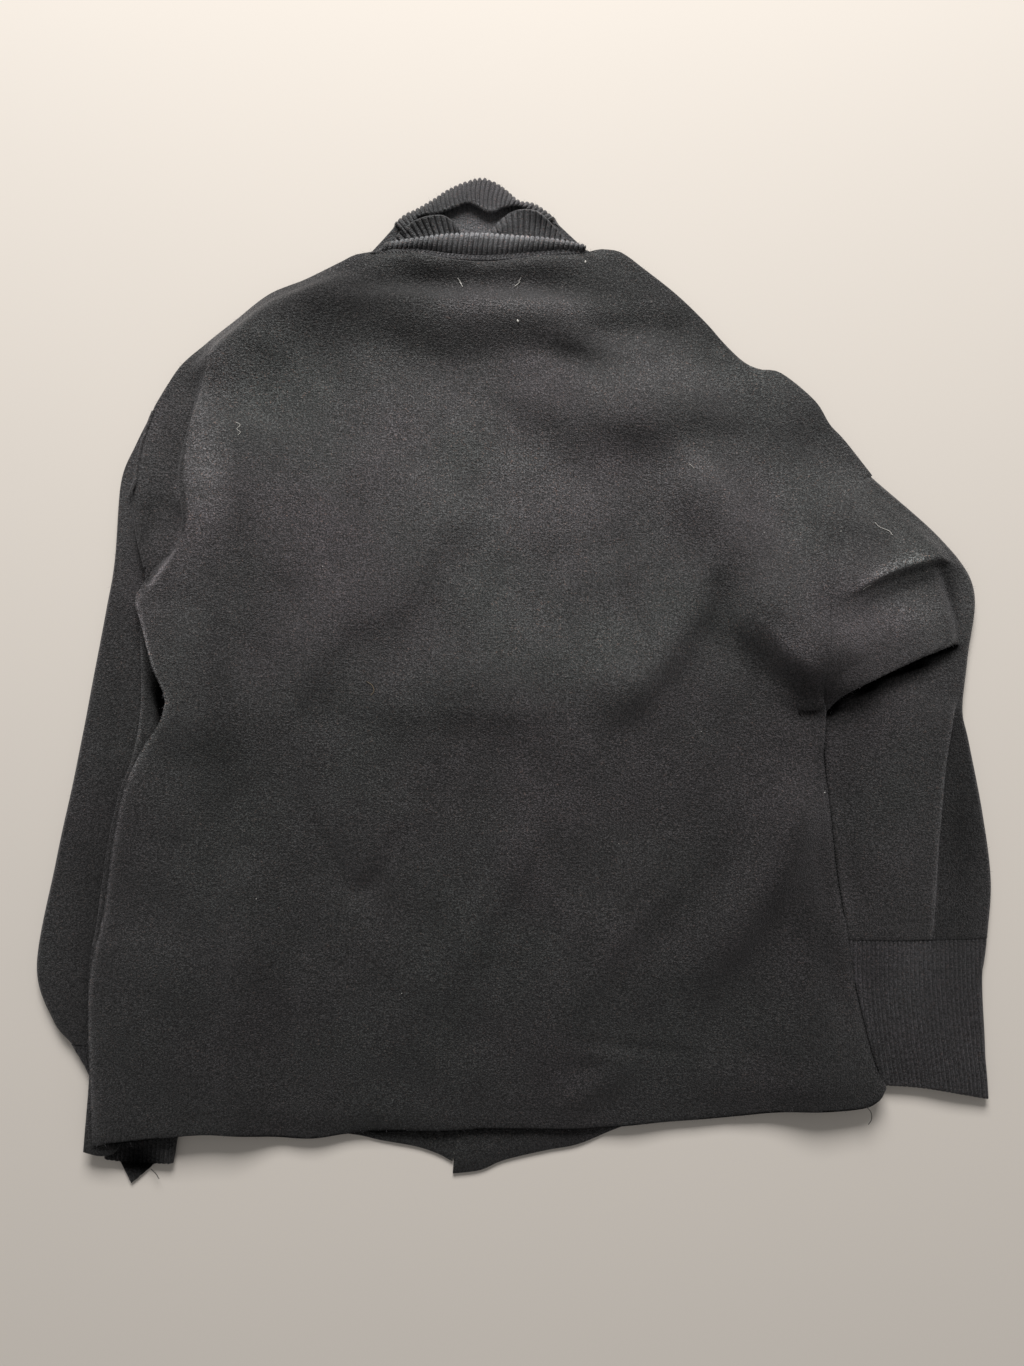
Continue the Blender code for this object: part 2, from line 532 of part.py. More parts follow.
def front_panels():
    """Two fronts that meet on the centre seam; the right one hangs a little longer."""
    left = panel_side(LEFT_ARMHOLE, FRONT_LEFT_EDGE, FRONT_ROWS, SEAM_GAP)
    right = panel_side(RIGHT_ARMHOLE, RIGHT_EDGE[:-1] + [FRONT_RIGHT_HEM[-1]], FRONT_ROWS, -SEAM_GAP)
    centre = curve(CENTRE_SEAM, spread(left))
    outward = spaced(FRONT_COLUMNS, 10.0, 24.0, 18.0)
    inward = spaced(FRONT_COLUMNS, 18.0, 24.0, 10.0)
    shoulder = [tuple(left[0])] + [(x, y - SHOULDER_INSET) for x, y in LEFT_SHOULDER[1:-1]]
    top = curve(shoulder + FRONT_NECK_LEFT, outward)
    hem = curve(FRONT_LEFT_HEM, outward)
    front_panel("front_left", top, hem, left, centre)
    beside = centre + (SEAM_GAP, 0.0)
    beside[-1] = FRONT_RIGHT_HEM[0]
    shoulder = [(x, y - SHOULDER_INSET) for x, y in RIGHT_SHOULDER[1:-1]] + [tuple(right[0])]
    top = curve([tuple(beside[0])] + FRONT_NECK_RIGHT[1:] + shoulder, inward)
    hem = curve(FRONT_RIGHT_HEM, inward)
    front_panel("front_right", top, hem, beside, right)


def no_folds(x, y):
    """A tube with nothing on its top."""
    return np.zeros(np.shape(x))


def right_sleeve_top(x, y):
    """The folds go on from the body across the armhole; under the body the sleeve stays flat."""
    edge, _ = nearest(x, y, curve(SLEEVE_OUTER, np.linspace(0.0, 1.0, LINE_SAMPLES)))
    above_roll = smooth((y - np.interp(x, *np.transpose(ROLL_FOOT))) / ROLL_FOOT_FADE)
    clear_of_body = smooth((x - np.interp(y, *np.transpose(BODY_SIDE))) / BODY_SIDE_FADE)
    free = np.maximum(clear_of_body, above_roll)
    return garment_top(x, y) * free * smooth(np.abs(edge) / ROUND_END)


def sleeves_and_cuffs():
    """Both sleeves lie flattened on the floor, each with its ribbed cuff."""
    flat_tube("sleeve_left", LEFT_SLEEVE, LEFT_SLEEVE_ROWS, ARMHOLE_POINTS, SLEEVE_HEIGHT, no_folds,
              KNIT_COLOUR)
    flat_tube("cuff_left", LEFT_CUFF, CUFF_ROWS, CUFF_POINTS, CUFF_HEIGHT, no_folds, RIB_COLOUR,
              LEFT_CUFF_TONGUE)
    flat_tube("sleeve_right", RIGHT_SLEEVE, RIGHT_SLEEVE_ROWS, ARMHOLE_POINTS, SLEEVE_HEIGHT,
              right_sleeve_top, KNIT_COLOUR)
    flat_tube("cuff_right", RIGHT_CUFF, CUFF_ROWS, CUFF_POINTS, CUFF_HEIGHT, no_folds, RIB_COLOUR)


def surface_through(lines, heights, columns):
    """A surface through plan lines at given heights: one row of points for each line."""
    shares = np.linspace(0.0, 1.0, columns)
    rows = []
    for line, height in zip(lines, heights):
        plan = curve(line, shares)
        z = np.interp(shares, np.linspace(0.0, 1.0, len(height)), height)
        rows.append(np.column_stack([plan, z]))
    return np.array(rows)


def between(first, second, share, count=16):
    """A plan line part of the way from one line to another."""
    at = np.linspace(0.0, 1.0, count)
    return curve(first, at) * (1.0 - share) + curve(second, at) * share


def neck_roll():
    """The linked seam that stands up as a cord along the back of the neck."""
    path = curve(COLLAR_ROLL, np.linspace(0.0, 1.0, NECK_SEAM_POINTS))
    z = ROLL_CENTRE - ROLL_DROP * np.abs(np.linspace(-1.0, 1.0, len(path))) ** 4
    data = bpy.data.curves.new("neck_seam", "CURVE")
    data.dimensions = "3D"
    data.bevel_depth = NECK_ROLL_RADIUS * MM
    data.bevel_resolution = 2
    data.use_fill_caps = True
    spline = data.splines.new("POLY")
    spline.points.add(len(path) - 1)
    for point, (px, py), pz in zip(spline.points, path, z):
        point.co = (px * MM, py * MM, pz * MM, 1.0)
    cord = bpy.data.objects.new("neck_seam", data)
    bpy.context.scene.collection.objects.link(cord)
    data.materials.append(knit_material("neck_seam", RIB_COLOUR))


def collar():
    """The turtleneck: its back folds over just above the seam, its front lies spread on the floor."""
    seam_side = offset(curve(COLLAR_ROLL, np.linspace(0.07, 0.89, NECK_SEAM_POINTS)), NECK_ROLL_RADIUS + 0.5)
    rows = [seam_side, between(seam_side, COLLAR_CREST, 0.35), between(seam_side, COLLAR_CREST, 0.75),
            COLLAR_CREST, [(x, y + 0.6) for x, y in COLLAR_CREST]]
    grid = surface_through(rows, COLLAR_BACK_HEIGHTS, COLLAR_COLUMNS)
    cloth_sheet("collar_back", grid[::-1], RIB_COLOUR, True)
    rows = [LOBE_FOOT, between(LOBE_FOOT, LOBE_TOP, 0.35), between(LOBE_FOOT, LOBE_TOP, 0.7), LOBE_TOP]
    grid = surface_through(rows, LOBE_HEIGHTS, COLLAR_COLUMNS)
    cloth_sheet("collar_inner", grid[::-1], RIB_COLOUR)
    rows = [COLLAR_FOOT, between(COLLAR_FOOT, FAR_EDGE, 0.45), between(COLLAR_FOOT, FAR_EDGE, 0.8),
            between(COLLAR_FOOT, FAR_EDGE, 0.9), FAR_EDGE, between(FAR_EDGE, LIP_EDGE, 0.15),
            between(FAR_EDGE, LIP_EDGE, 0.55), LIP_EDGE]
    grid = surface_through(rows, [[height, height] for height in COLLAR_FRONT_HEIGHTS], COLLAR_COLUMNS)
    cloth_sheet("collar_front", grid[::-1], RIB_COLOUR)


def clear_scene():
    """Start from nothing."""
    for thing in list(bpy.data.objects):
        bpy.data.objects.remove(thing, do_unlink=True)


def main():
    clear_scene()
    back_panel()
    front_panels()
    sleeves_and_cuffs()
    neck_roll()
    collar()


main()
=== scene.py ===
# %% [markdown]
# # A felted turtleneck sweater, laid flat with its back up
#
# The real sweater is knitted in panels: one wide back, two fronts, two long sleeves, ribbed cuffs and
# a tall ribbed collar. The panels are linked together and the whole is washed until the wool felts.
# Laid down on its front, every panel becomes a soft sheet a few millimetres thick that lies on the
# floor or on the panel below it. This script makes each panel as a thin closed shell on the form of
# the solid with the same name, so the looks stay inside the size that the solids already have.

# %% Load the fixed frame
import math

import bpy
import numpy as np
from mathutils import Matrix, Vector
from mathutils.bvhtree import BVHTree


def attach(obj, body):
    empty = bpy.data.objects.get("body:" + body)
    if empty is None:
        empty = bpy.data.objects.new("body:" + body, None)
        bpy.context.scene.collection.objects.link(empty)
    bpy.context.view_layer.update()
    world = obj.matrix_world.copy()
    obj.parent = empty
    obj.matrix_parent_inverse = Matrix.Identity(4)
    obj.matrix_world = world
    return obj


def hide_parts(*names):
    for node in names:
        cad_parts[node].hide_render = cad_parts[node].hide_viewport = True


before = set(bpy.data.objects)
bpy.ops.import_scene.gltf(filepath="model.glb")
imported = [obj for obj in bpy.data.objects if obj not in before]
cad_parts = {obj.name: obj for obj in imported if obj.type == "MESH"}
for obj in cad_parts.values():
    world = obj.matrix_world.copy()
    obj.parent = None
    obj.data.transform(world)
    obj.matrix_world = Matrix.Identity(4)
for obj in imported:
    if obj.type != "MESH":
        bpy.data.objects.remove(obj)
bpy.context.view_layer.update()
print("solids:", ", ".join(sorted(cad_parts)))

# %% [markdown]
# ## Camera
#
# A garment is usually recorded from straight above, from about a metre, with a short lens. Looking
# straight down keeps the outline true. A camera with no rotation already looks along -Z with +Y up,
# so it only needs its place and its lens.

# %% Camera
MM = 0.001
CAMERA_PLACE = (-1.6, -1.2, 860.0)          # millimetres
LENS = 28.0
SENSOR = 36.0
NEAR_CLIP = 0.01                            # metres


def add_object(name, data):
    """An object that shows the given data, linked to the scene."""
    thing = bpy.data.objects.new(name, data)
    bpy.context.scene.collection.objects.link(thing)
    return thing


camera_data = bpy.data.cameras.new("camera")
camera_data.lens = LENS
camera_data.sensor_width = SENSOR
camera_data.clip_start = NEAR_CLIP
camera = add_object("camera", camera_data)
camera.location = [c * MM for c in CAMERA_PLACE]
bpy.context.scene.camera = camera
bpy.context.scene.view_settings.view_transform = "Standard"
print("camera at", tuple(round(c, 3) for c in camera.location), "lens", LENS)

# %% [markdown]
# ## Light
#
# Dark wool shows its folds only where light rakes over it. One large soft source beyond the collar
# gives the pale floor its slow fall from bright to dim, and rakes across the folds. The world adds
# an even, weaker light so that hollows stay readable.

# %% Light
WINDOW_PLACE = (-0.05, 2.3, 1.5)            # metres, beyond the collar and above it
WINDOW_SIZE = (1.5, 1.0)
WINDOW_POWER = 96.0
DAYLIGHT = (1.0, 0.985, 0.965)
WORLD_STRENGTH = 0.21

lamp = bpy.data.lights.new("window", "AREA")
lamp.shape = "RECTANGLE"
lamp.size, lamp.size_y = WINDOW_SIZE
lamp.energy = WINDOW_POWER
lamp.color = DAYLIGHT
window = add_object("window", lamp)
window.location = WINDOW_PLACE
window.rotation_euler = (Vector((0.0, 0.0, 0.0)) - Vector(WINDOW_PLACE)).to_track_quat("-Z", "Y").to_euler()

world = bpy.data.worlds.new("studio")
world.use_nodes = True
background = world.node_tree.nodes["Background"]
background.inputs["Color"].default_value = (*DAYLIGHT, 1.0)
background.inputs["Strength"].default_value = WORLD_STRENGTH
bpy.context.scene.world = world
print("light:", window.name, WINDOW_POWER, "W")

# %% [markdown]
# ## Writing a material as maths
#
# A material is a graph of small nodes. Written link by link it is hard to read, so one small class
# stands for a number on its way through the graph and lets `1 - mask * 0.5` add the Math nodes
# itself. Every other node comes from one function that takes its type, its settings and its inputs.

# %% Nodes written as expressions
def find(sockets, key):
    """A socket by its number, identifier or name."""
    if isinstance(key, int):
        return sockets[key]
    for socket in sockets:
        if socket.identifier == key:
            return socket
    return sockets[key]


def fill(made, values):
    """Give sockets of a node their values, or link the Wires that feed them."""
    for key, value in values.items():
        socket = find(made.inputs, key)
        if isinstance(value, Wire):
            made.id_data.links.new(value.socket, socket)
        else:
            socket.default_value = value


def node(tree, kind, values=None, out=0, **settings):
    """Add a node, set it up, fill its sockets, and return its output as a Wire."""
    made = tree.nodes.new(kind)
    for key, value in settings.items():
        setattr(made, key, value)
    fill(made, values or {})
    return Wire(find(made.outputs, out))


class Wire:
    """A number, colour or vector on its way through a node tree."""

    def __init__(self, socket):
        self.socket = socket

    def ease(self, low, high):
        """0 below low, 1 above high, smooth in between."""
        return node(self.socket.id_data, "ShaderNodeMapRange",
                    {"Value": self, "From Min": low, "From Max": high}, interpolation_type="SMOOTHSTEP")

    def from_middle(self, pitch):
        """0 in the middle of each repeat of a pitch, and 1 at its ends."""
        return ((self / pitch).fraction() - 0.5).absolute() * 2.0


def maths(operation, turned=False):
    """A method that adds one Math node. Turned round, the Wire is its second number."""
    def method(self, *others):
        values = (*others, self) if turned else (self, *others)
        return node(self.socket.id_data, "ShaderNodeMath", dict(enumerate(values)), operation=operation)
    return method


for name, operation in {"__add__": "ADD", "__sub__": "SUBTRACT", "__mul__": "MULTIPLY",
                        "__truediv__": "DIVIDE", "__pow__": "POWER", "fraction": "FRACT",
                        "absolute": "ABSOLUTE", "cosine": "COSINE", "at_most": "MINIMUM",
                        "at_least": "MAXIMUM"}.items():
    setattr(Wire, name, maths(operation))
for name, operation in {"__radd__": "ADD", "__rsub__": "SUBTRACT", "__rmul__": "MULTIPLY"}.items():
    setattr(Wire, name, maths(operation, turned=True))


def mix(tree, share, first, second, blend="MIX"):
    """Blend two colours."""
    return node(tree, "ShaderNodeMix", {"Factor_Float": share, "A_Color": first, "B_Color": second},
                "Result_Color", data_type="RGBA", blend_type=blend, clamp_factor=True)


def noise(tree, where, scale, detail, roughness=0.5):
    """A cloudy pattern of numbers around a half."""
    return node(tree, "ShaderNodeTexNoise", {"Vector": where, "Scale": scale, "Detail": detail,
                                             "Roughness": roughness})


def new_material(name):
    """A material, its node tree, its shader, and where each point of the surface lies."""
    material = bpy.data.materials.new(name)
    material.use_nodes = True
    tree = material.node_tree
    return material, tree, tree.nodes["Principled BSDF"], node(tree, "ShaderNodeTexCoord", out="Object")


print("node helpers ready")

# %% [markdown]
# ## The floor
#
# The floor is matt painted board, warm white. It is only a stage, so it stays plain: a little slow
# variation in its colour stops it from looking like paper cut from one colour.

# %% Floor
FLOOR_COLOUR = (0.77, 0.715, 0.655, 1.0)
FLOOR_SHADE = (0.75, 0.70, 0.645, 1.0)
FLOOR_HALF = 3.0                            # metres

paint, tree, shader, where = new_material("floor")
fill(shader, {"Base Color": mix(tree, noise(tree, where, 3.0, 3.0), FLOOR_SHADE, FLOOR_COLOUR),
              "Roughness": 0.85, "Specular IOR Level": 0.15})
floor_mesh = bpy.data.meshes.new("floor")
corners = [(x * FLOOR_HALF, y * FLOOR_HALF, 0) for x, y in ((-1, -1), (1, -1), (1, 1), (-1, 1))]
floor_mesh.from_pydata(corners, [], [(0, 1, 2, 3)])
floor_mesh.materials.append(paint)
floor = add_object("floor", floor_mesh)
print("floor", 2 * FLOOR_HALF, "m square")

# %% [markdown]
# ## The cut of the garment
#
# These are the plan outlines of the panels as they lie, in millimetres, with X across the body and Y
# towards the collar. They follow the outlines of the solids to within a few millimetres; here they are
# filled with a much finer grid.

# %% Plan outlines
WALL = 2.6                                  # thickness of the felted cloth, millimetres
SEAM_GAP = 0.3                              # between two panels that are linked
BODY_TOP = 8.0                              # top of the back where it lies flat on the fronts
SLEEVE_HEIGHT = 8.0
CUFF_HEIGHT = 7.4
FRONT_LIFT = 8.8                            # how far a front and the back climb onto a sleeve
BACK_LIFT = 8.2
SHOULDER_RISE = 1.9                         # a front's shoulder meets the back's

LEFT_SHOULDER = [(-288, 221), (-278, 237), (-266, 254), (-246, 271), (-223, 289), (-196, 310),
                 (-167, 322), (-139, 336), (-127, 342)]
NECK_EDGE = [(-127, 342), (-112, 344), (-92, 343), (-74, 339), (-45, 334), (-16, 333), (20, 337),
             (48, 340), (60, 343.5), (70, 346.5), (83, 345)]
RIGHT_SHOULDER = [(83, 345), (92, 340), (101, 333), (129, 311), (153, 288), (169, 270), (184, 256),
                  (197, 250), (214, 247), (241, 225), (253, 206), (265, 193), (287, 165)]
LEFT_ARMHOLE = [(-288, 221), (-296, 200), (-301, 180), (-303, 163), (-307, 147), (-302, 119),
                (-294, 92), (-293, 80)]
LEFT_EDGE = [(-293, 80), (-300, 66), (-294, 45), (-286, 12), (-276, -13), (-281, -33), (-298, -59),
             (-311, -92), (-320, -140), (-328, -192), (-336, -226), (-338, -260), (-337, -320),
             (-335, -369)]
RIGHT_ARMHOLE = [(287, 165), (272, 154), (257, 110), (248, 70), (244, 22), (244, -8), (248, -24)]
RIGHT_EDGE = [(248, -24), (247, -63), (253, -120), (261, -175), (271, -237), (285, -295), (296, -324)]
BACK_HEM = [(-335, -369), (-291, -364), (-243, -360), (-171, -366), (-123, -362), (-19, -359),
            (53, -359), (109, -354), (165, -350), (221, -343), (273, -340), (289, -334), (296, -324)]
FRONT_LEFT_EDGE = [(-293, 80), (-299, 66), (-298, 20), (-298, -20), (-304, -58), (-316, -92),
                   (-326, -140), (-333, -192), (-339, -226), (-340, -260), (-339, -310), (-344, -376)]
CENTRE_SEAM = [(-36, 289), (-38, 100), (-40, -150), (-41, -300), (-44, -362), (-50, -387)]
FRONT_LEFT_HEM = [(-344, -376), (-331, -379), (-320, -377), (-312, -368), (-290, -361), (-250, -359),
                  (-190, -359), (-131, -365), (-107, -370), (-79, -375), (-61, -381), (-50, -387)]
FRONT_RIGHT_HEM = [(-49, -397), (-27, -394), (-8, -386), (26, -378), (52, -373), (84, -360),
                   (120, -349), (200, -340), (270, -338), (288, -332), (295, -322)]
FRONT_NECK_LEFT = [(-124, 340), (-118, 316), (-90, 298), (-36, 289)]
FRONT_NECK_RIGHT = [(-36, 289), (20, 292), (60, 304), (80, 342)]
LEFT_SLEEVE_INNER = [(-293, 80), (-288, 62), (-262, 12), (-242, -40), (-232, -100), (-233, -160),
                     (-240, -225), (-248, -280)]
RIGHT_SLEEVE_INNER = [(248, -24), (246, -45), (243, -66), (246, -100), (252, -150), (261, -207)]
print("back hem", round(float(np.ptp(np.array(BACK_HEM)[:, 0]))), "mm wide")

# %% [markdown]
# ## Lines through points
#
# A knit has no straight lines and no corners, so each outline is a smooth curve through a few points.
# `curve` draws it, `nearest` and `beside` say how far from it any other point lies, and everything else
# in the garment is placed by these.

# %% Curves
CURVE_STEPS = 24                            # straight pieces that stand for one span of a curve


def even(count):
    """Evenly spaced shares from 0 to 1."""
    return np.linspace(0.0, 1.0, count)


def smooth(t):
    """Ease from 0 to 1."""
    t = np.clip(t, 0.0, 1.0)
    return t * t * (3.0 - 2.0 * t)


def spline(four, t):
    """Between the middle two of four points, on a smooth curve through them all."""
    a, b, c, d = four
    return 0.5 * (2 * b + (c - a) * t + (2 * a - 5 * b + 4 * c - d) * t ** 2
                  + (3 * b - a - 3 * c + d) * t ** 3)


def padded(rows):
    """The same rows with one more beyond each end."""
    return np.concatenate([2 * rows[:1] - rows[1:2], rows, 2 * rows[-1:] - rows[-2:-1]])


def splined(rows, count):
    """Smooth curves through rows of points, in so many steps from row to row."""
    p = padded(rows)
    t = np.linspace(0.0, 1.0, count, endpoint=False).reshape([-1] + [1] * (p.ndim - 1))
    return np.concatenate([spline(four, t) for four in zip(p, p[1:], p[2:], p[3:])] + [rows[-1:]])


def curve(points, at):
    """Points of a smooth curve through the given ones, at shares of its length."""
    fine = splined(np.array(points, dtype=float), CURVE_STEPS)
    run = np.append(0.0, np.cumsum(np.hypot(*np.diff(fine[:, :2], axis=0).T)))
    want = np.asarray(at) * run[-1]
    return np.column_stack([np.interp(want, run, column) for column in fine.T])


def run_along(points):
    """Length of a line up to each of its points."""
    return np.append(0.0, np.cumsum(np.linalg.norm(np.diff(points, axis=0), axis=1)))


def spread(points):
    """Shares of length at the points of a line."""
    run = run_along(points)
    return run / run[-1]


def left_of(points):
    """Plan directions to the left of a line, each of length 1."""
    slope = np.gradient(points[:, :2], axis=0)
    side = np.column_stack([-slope[:, 1], slope[:, 0]])
    return side / np.linalg.norm(side, axis=1)[:, None]


def offset(points, distance):
    """Plan points moved sideways, to the left of their direction."""
    return points + distance * left_of(points)


def nearest(x, y, path):
    """Signed distance to a line, positive on its left, and the share of its length there."""
    best = np.full(np.shape(x), np.inf)
    side = np.ones(np.shape(x))
    along = np.zeros(np.shape(x))
    spans = len(path) - 1
    for k in range(spans):
        ax, ay = path[k, :2]
        bx, by = path[k + 1, :2] - path[k, :2]
        t = np.clip(((x - ax) * bx + (y - ay) * by) / (bx * bx + by * by), 0.0, 1.0)
        dx = x - ax - t * bx
        dy = y - ay - t * by
        square = dx * dx + dy * dy
        closer = square < best
        best = np.where(closer, square, best)
        side = np.where(closer, np.where(bx * dy - by * dx >= 0.0, 1.0, -1.0), side)
        along = np.where(closer, (k + t) / spans, along)
    return side * np.sqrt(best), along


def beside(x, y, line, count=60):
    """The same for the smooth curve through a table's plan points."""
    return nearest(x, y, curve([point[:2] for point in line], even(count)))


print("left armhole", round(float(run_along(curve(LEFT_ARMHOLE, even(50)))[-1])), "mm long")

# %% [markdown]
# ## Folds
#
# Felted wool does not crumple like cotton. It makes a few broad ridges and hollows where the garment
# was put down slightly twisted. Each one here is a crest line in plan with a height and a width on
# either side, and it fades out at both ends. They are as uneven as they fell: no two share a length,
# a width or a direction.

# %% Fold tables
FOLDS = {
    #                    crest                                              height  left  right
    "neck seam":        ([(-138, 338), (-60, 338), (0, 335), (84, 338)],     6.5, 20, 15),
    "neck ridge":       ([(-155, 306), (-95, 302), (-20, 300), (40, 298), (95, 303)], 8.0, 12, 26),
    "left shoulder":    ([(-262, 235), (-225, 270), (-180, 296), (-118, 322)], 11.0, 20, 34),
    "right shoulder":   ([(-22, 250), (29, 222), (80, 212), (140, 216), (192, 222)], 8.0, 38, 30),
    "right hollow":     ([(50, 276), (100, 282), (150, 281)],               -3.0, 12, 12),
    "blade":            ([(125, 198), (160, 135), (185, 89), (216, 26)],     8.0, 32, 22),
    "blade tail":       ([(182, 115), (141, 53), (101, 1), (55, -40)],       8.0, 17, 30),
    "sleeve into body": ([(160, 66), (195, 48), (228, 18), (262, -2)],       9.0, 40, 15),
    "armhole":          ([(278, 176), (262, 140), (250, 81), (246, 25), (250, -14)], 9.0, 45, 45),
    "waist":            ([(-155, -12), (-80, -19), (0, -20), (75, -15)],     2.4, 34, 16),
    "long diagonal":    ([(0, 157), (-59, 121), (-90, 70), (-140, 42), (-179, -15), (-226, -45)],
                         4.0, 16, 32),
    "mid hollow":       ([(-20, 88), (50, 101), (125, 114)],                -1.5, 16, 16),
    "left ridge":       ([(-256, 75), (-244, 30), (-238, -20), (-258, -75)], 5.0, 26, 24),
    "left crease":      ([(-171, -79), (-127, -167), (-91, -127), (-51, -115)], -2.4, 8, 10),
    "low diagonal":     ([(138, -142), (85, -199), (61, -239), (35, -285)],  3.6, 13, 24),
    "centre diagonal":  ([(30, -85), (6, -140), (-30, -205), (-55, -265)],   2.6, 10, 20),
    "left slope":       ([(-225, -130), (-205, -190), (-215, -255)],         3.0, 22, 30),
    "hem tent":         ([(35, -286), (82, -308), (22, -350)],               3.6, 12, 12),
    "side diagonal":    ([(246, -58), (213, -143), (165, -215), (136, -262)], 8.0, 16, 30),
    "side crease":      ([(246, -130), (252, -210), (268, -290)],           -1.6, 8, 8),
    "tuck ridge":       ([(238, 60), (285, 84), (330, 101), (358, 96)],      3.0, 18, 14),
    "tuck hollow":      ([(262, 50), (300, 69), (331, 84), (348, 84)],      -1.0, 9, 10),
    "roll":             ([(240, 6), (285, 30), (325, 49), (352, 50)],        3.0, 22, 24),
    "left brim":        ([(-286, 84), (-294, 55), (-286, 5), (-281, -15), (-298, -62)], 3.0, 26, 30),
}
FOLD_GAIN = 1.6                             # all the heights are drawn this much stronger
FOLD_FADE = 0.3                             # share of a crest over which it fades in or out
# Where cloth lies over itself: x, y, height of the step, overhang
PLEAT = [(-238, 271, 0, 0.0), (-252, 228, 5, 1.5), (-257, 200, 10, 6.0), (-261, 165, 13, 9.5),
         (-258, 128, 14, 9.0), (-267, 105, 12, 4.0), (-281, 88, 7, 0.0), (-292, 72, 2, 0.0)]
ROLL = [(246, -30, 0, 0.0), (262, -11, 6, 5.0), (290, 9, 8, 11.0), (320, 22.5, 8, 11.0),
        (342, 28, 7, 8.0), (352, 29.5, 6, 4.0), (362, 30, 1, 0.0)]
TUCK = [(250, 58, 0, 0.0), (275, 74, 2, 1.5), (300, 86, 3, 2.5), (325, 94, 3, 2.5), (343, 96, 3, 2.0),
        (356, 91, 2, 1.0), (364, 80, 0, 0.0)]
LONG_STEP = [(335, -214, 0, 0.0), (338, -165, 3, 1.0), (341, -120, 4, 1.5), (345, -70, 4, 2.0),
             (350, -35, 5, 2.0), (356, -14, 2, 0.0)]
# Each with the reach of the step to either side, and of the slope on which the cloth sinks back behind it
PLEAT_STEP, ROLL_STEP = (PLEAT, 15.0, 62.0), (ROLL, 15.0, 70.0)
SLEEVE_STEPS = (ROLL_STEP, (TUCK, 8.0, 26.0), (LONG_STEP, 5.0, 60.0))
GUIDE_MARGIN = 17.0                         # below the pleat its guide line runs this far inside the edge
ROLL_END = [(337, 96), (340, 80), (346, 62), (351, 44), (353, 26), (352, 4)]    # the roll stops here
ROLL_END_LOW, ROLL_END_HIGH = (8.0, 12.0), (100.0, 18.0)    # y where that starts to count, and over how far
GROOVE = (3.0, 4.5, 0.35)                   # beyond the roll's end: its middle, its width and its depth
EDGE_DROP = 0.55                            # share of the loft that is gone on the sleeve's outer edge
INTO_BODY = (250.0, 45.0)                   # inwards from this x the roll sinks into the body, over how far
CLIMB = (66.0, 50.0)                        # the body starts to climb so far inside a sleeve's inner edge
LEFT_CLIMB, RIGHT_CLIMB = (140.0, 48.0), (48.0, 60.0)       # y below which it climbs, and over how far
ROUND_END = 14.0                            # a shoulder's edge rounds off over this distance
RIPPLES = 14                                # slow waves that keep flat cloth from being truly flat
RIPPLE_HEIGHT = 0.30
RIPPLE_LENGTH = (50.0, 150.0)
print(len(FOLDS), "folds, a pleat and", len(SLEEVE_STEPS), "steps on the right sleeve")

# %% Height of the folds
def folds(x, y):
    """Sum of the soft ridges and hollows at plan points."""
    total = np.zeros(np.shape(x))
    for crest, height, left, right in FOLDS.values():
        away, along = beside(x, y, crest, 40)
        width = np.where(away > 0.0, left, right)
        fade = smooth(along / FOLD_FADE) * smooth((1.0 - along) / FOLD_FADE)
        total = total + FOLD_GAIN * height * fade * np.exp(-(away / width) ** 2)
    return total


def ripples(x, y):
    """Faint slow waves in random directions, the same on each run."""
    draw = np.random.default_rng(7)
    total = np.zeros(np.shape(x))
    for _ in range(RIPPLES):
        angle, phase = draw.uniform(0.0, 2 * np.pi, 2)
        turn = 2 * np.pi / draw.uniform(*RIPPLE_LENGTH)
        total = total + RIPPLE_HEIGHT * np.sin(turn * (x * np.cos(angle) + y * np.sin(angle)) + phase)
    return total


def step_over(x, y, line, reach, decay):
    """A step where cloth lies over itself: its height, and the plan shift that makes it overhang."""
    path = curve(line, even(60))
    away, along = nearest(x, y, path)
    at, numbers = along * (len(path) - 1), np.arange(len(path))
    step, overhang, nx, ny = (np.interp(at, numbers, column)
                              for column in (path[:, 2], path[:, 3], *left_of(path).T))
    share = away / reach
    beyond = np.clip(away - reach, 0.0, None)
    rise = step * smooth((share + 0.4) / 0.8) * np.exp(-(beyond / decay) ** 2)
    back = np.where(np.abs(share) < 1.0, -overhang * np.sin(np.pi * share), 0.0)
    return rise, back * nx, back * ny


def line_x(y, line):
    """The x of a line that runs down the garment, at a given y."""
    upwards = np.array(line, dtype=float)[::-1]
    return np.interp(y, upwards[:, 1], upwards[:, 0])


def over_sleeve(x, y):
    """How far the body has climbed onto a sleeve at plan points, 0 to 1."""
    start, run = CLIMB
    left = smooth((line_x(y, LEFT_SLEEVE_INNER) + start - x) / run)
    right = smooth((x - line_x(y, RIGHT_SLEEVE_INNER) + start) / run)
    return np.maximum(left * smooth((LEFT_CLIMB[0] - y) / LEFT_CLIMB[1]),
                      right * smooth((RIGHT_CLIMB[0] - y) / RIGHT_CLIMB[1]))


def shoulder_share(x, y):
    """0 on a shoulder's edge, 1 where the loft behind it is full."""
    left, _ = beside(x, y, LEFT_SHOULDER)
    right, _ = beside(x, y, RIGHT_SHOULDER)
    return smooth(np.minimum(np.abs(left), np.abs(right)) / ROUND_END)


def roll_share(x, y):
    """1 on the roll, lower in the groove at its right end, and in between on the sleeve's outer edge."""
    beyond = x - line_x(y, ROLL_END)
    (low, low_run), (high, high_run), (middle, width, depth) = ROLL_END_LOW, ROLL_END_HIGH, GROOVE
    level = smooth((y - low) / low_run) * smooth((high - y) / high_run)
    groove = np.exp(-((beyond - middle) / width) ** 2)
    return 1.0 - level * (EDGE_DROP * smooth((beyond + 3.0) / 10.0) + depth * groove)


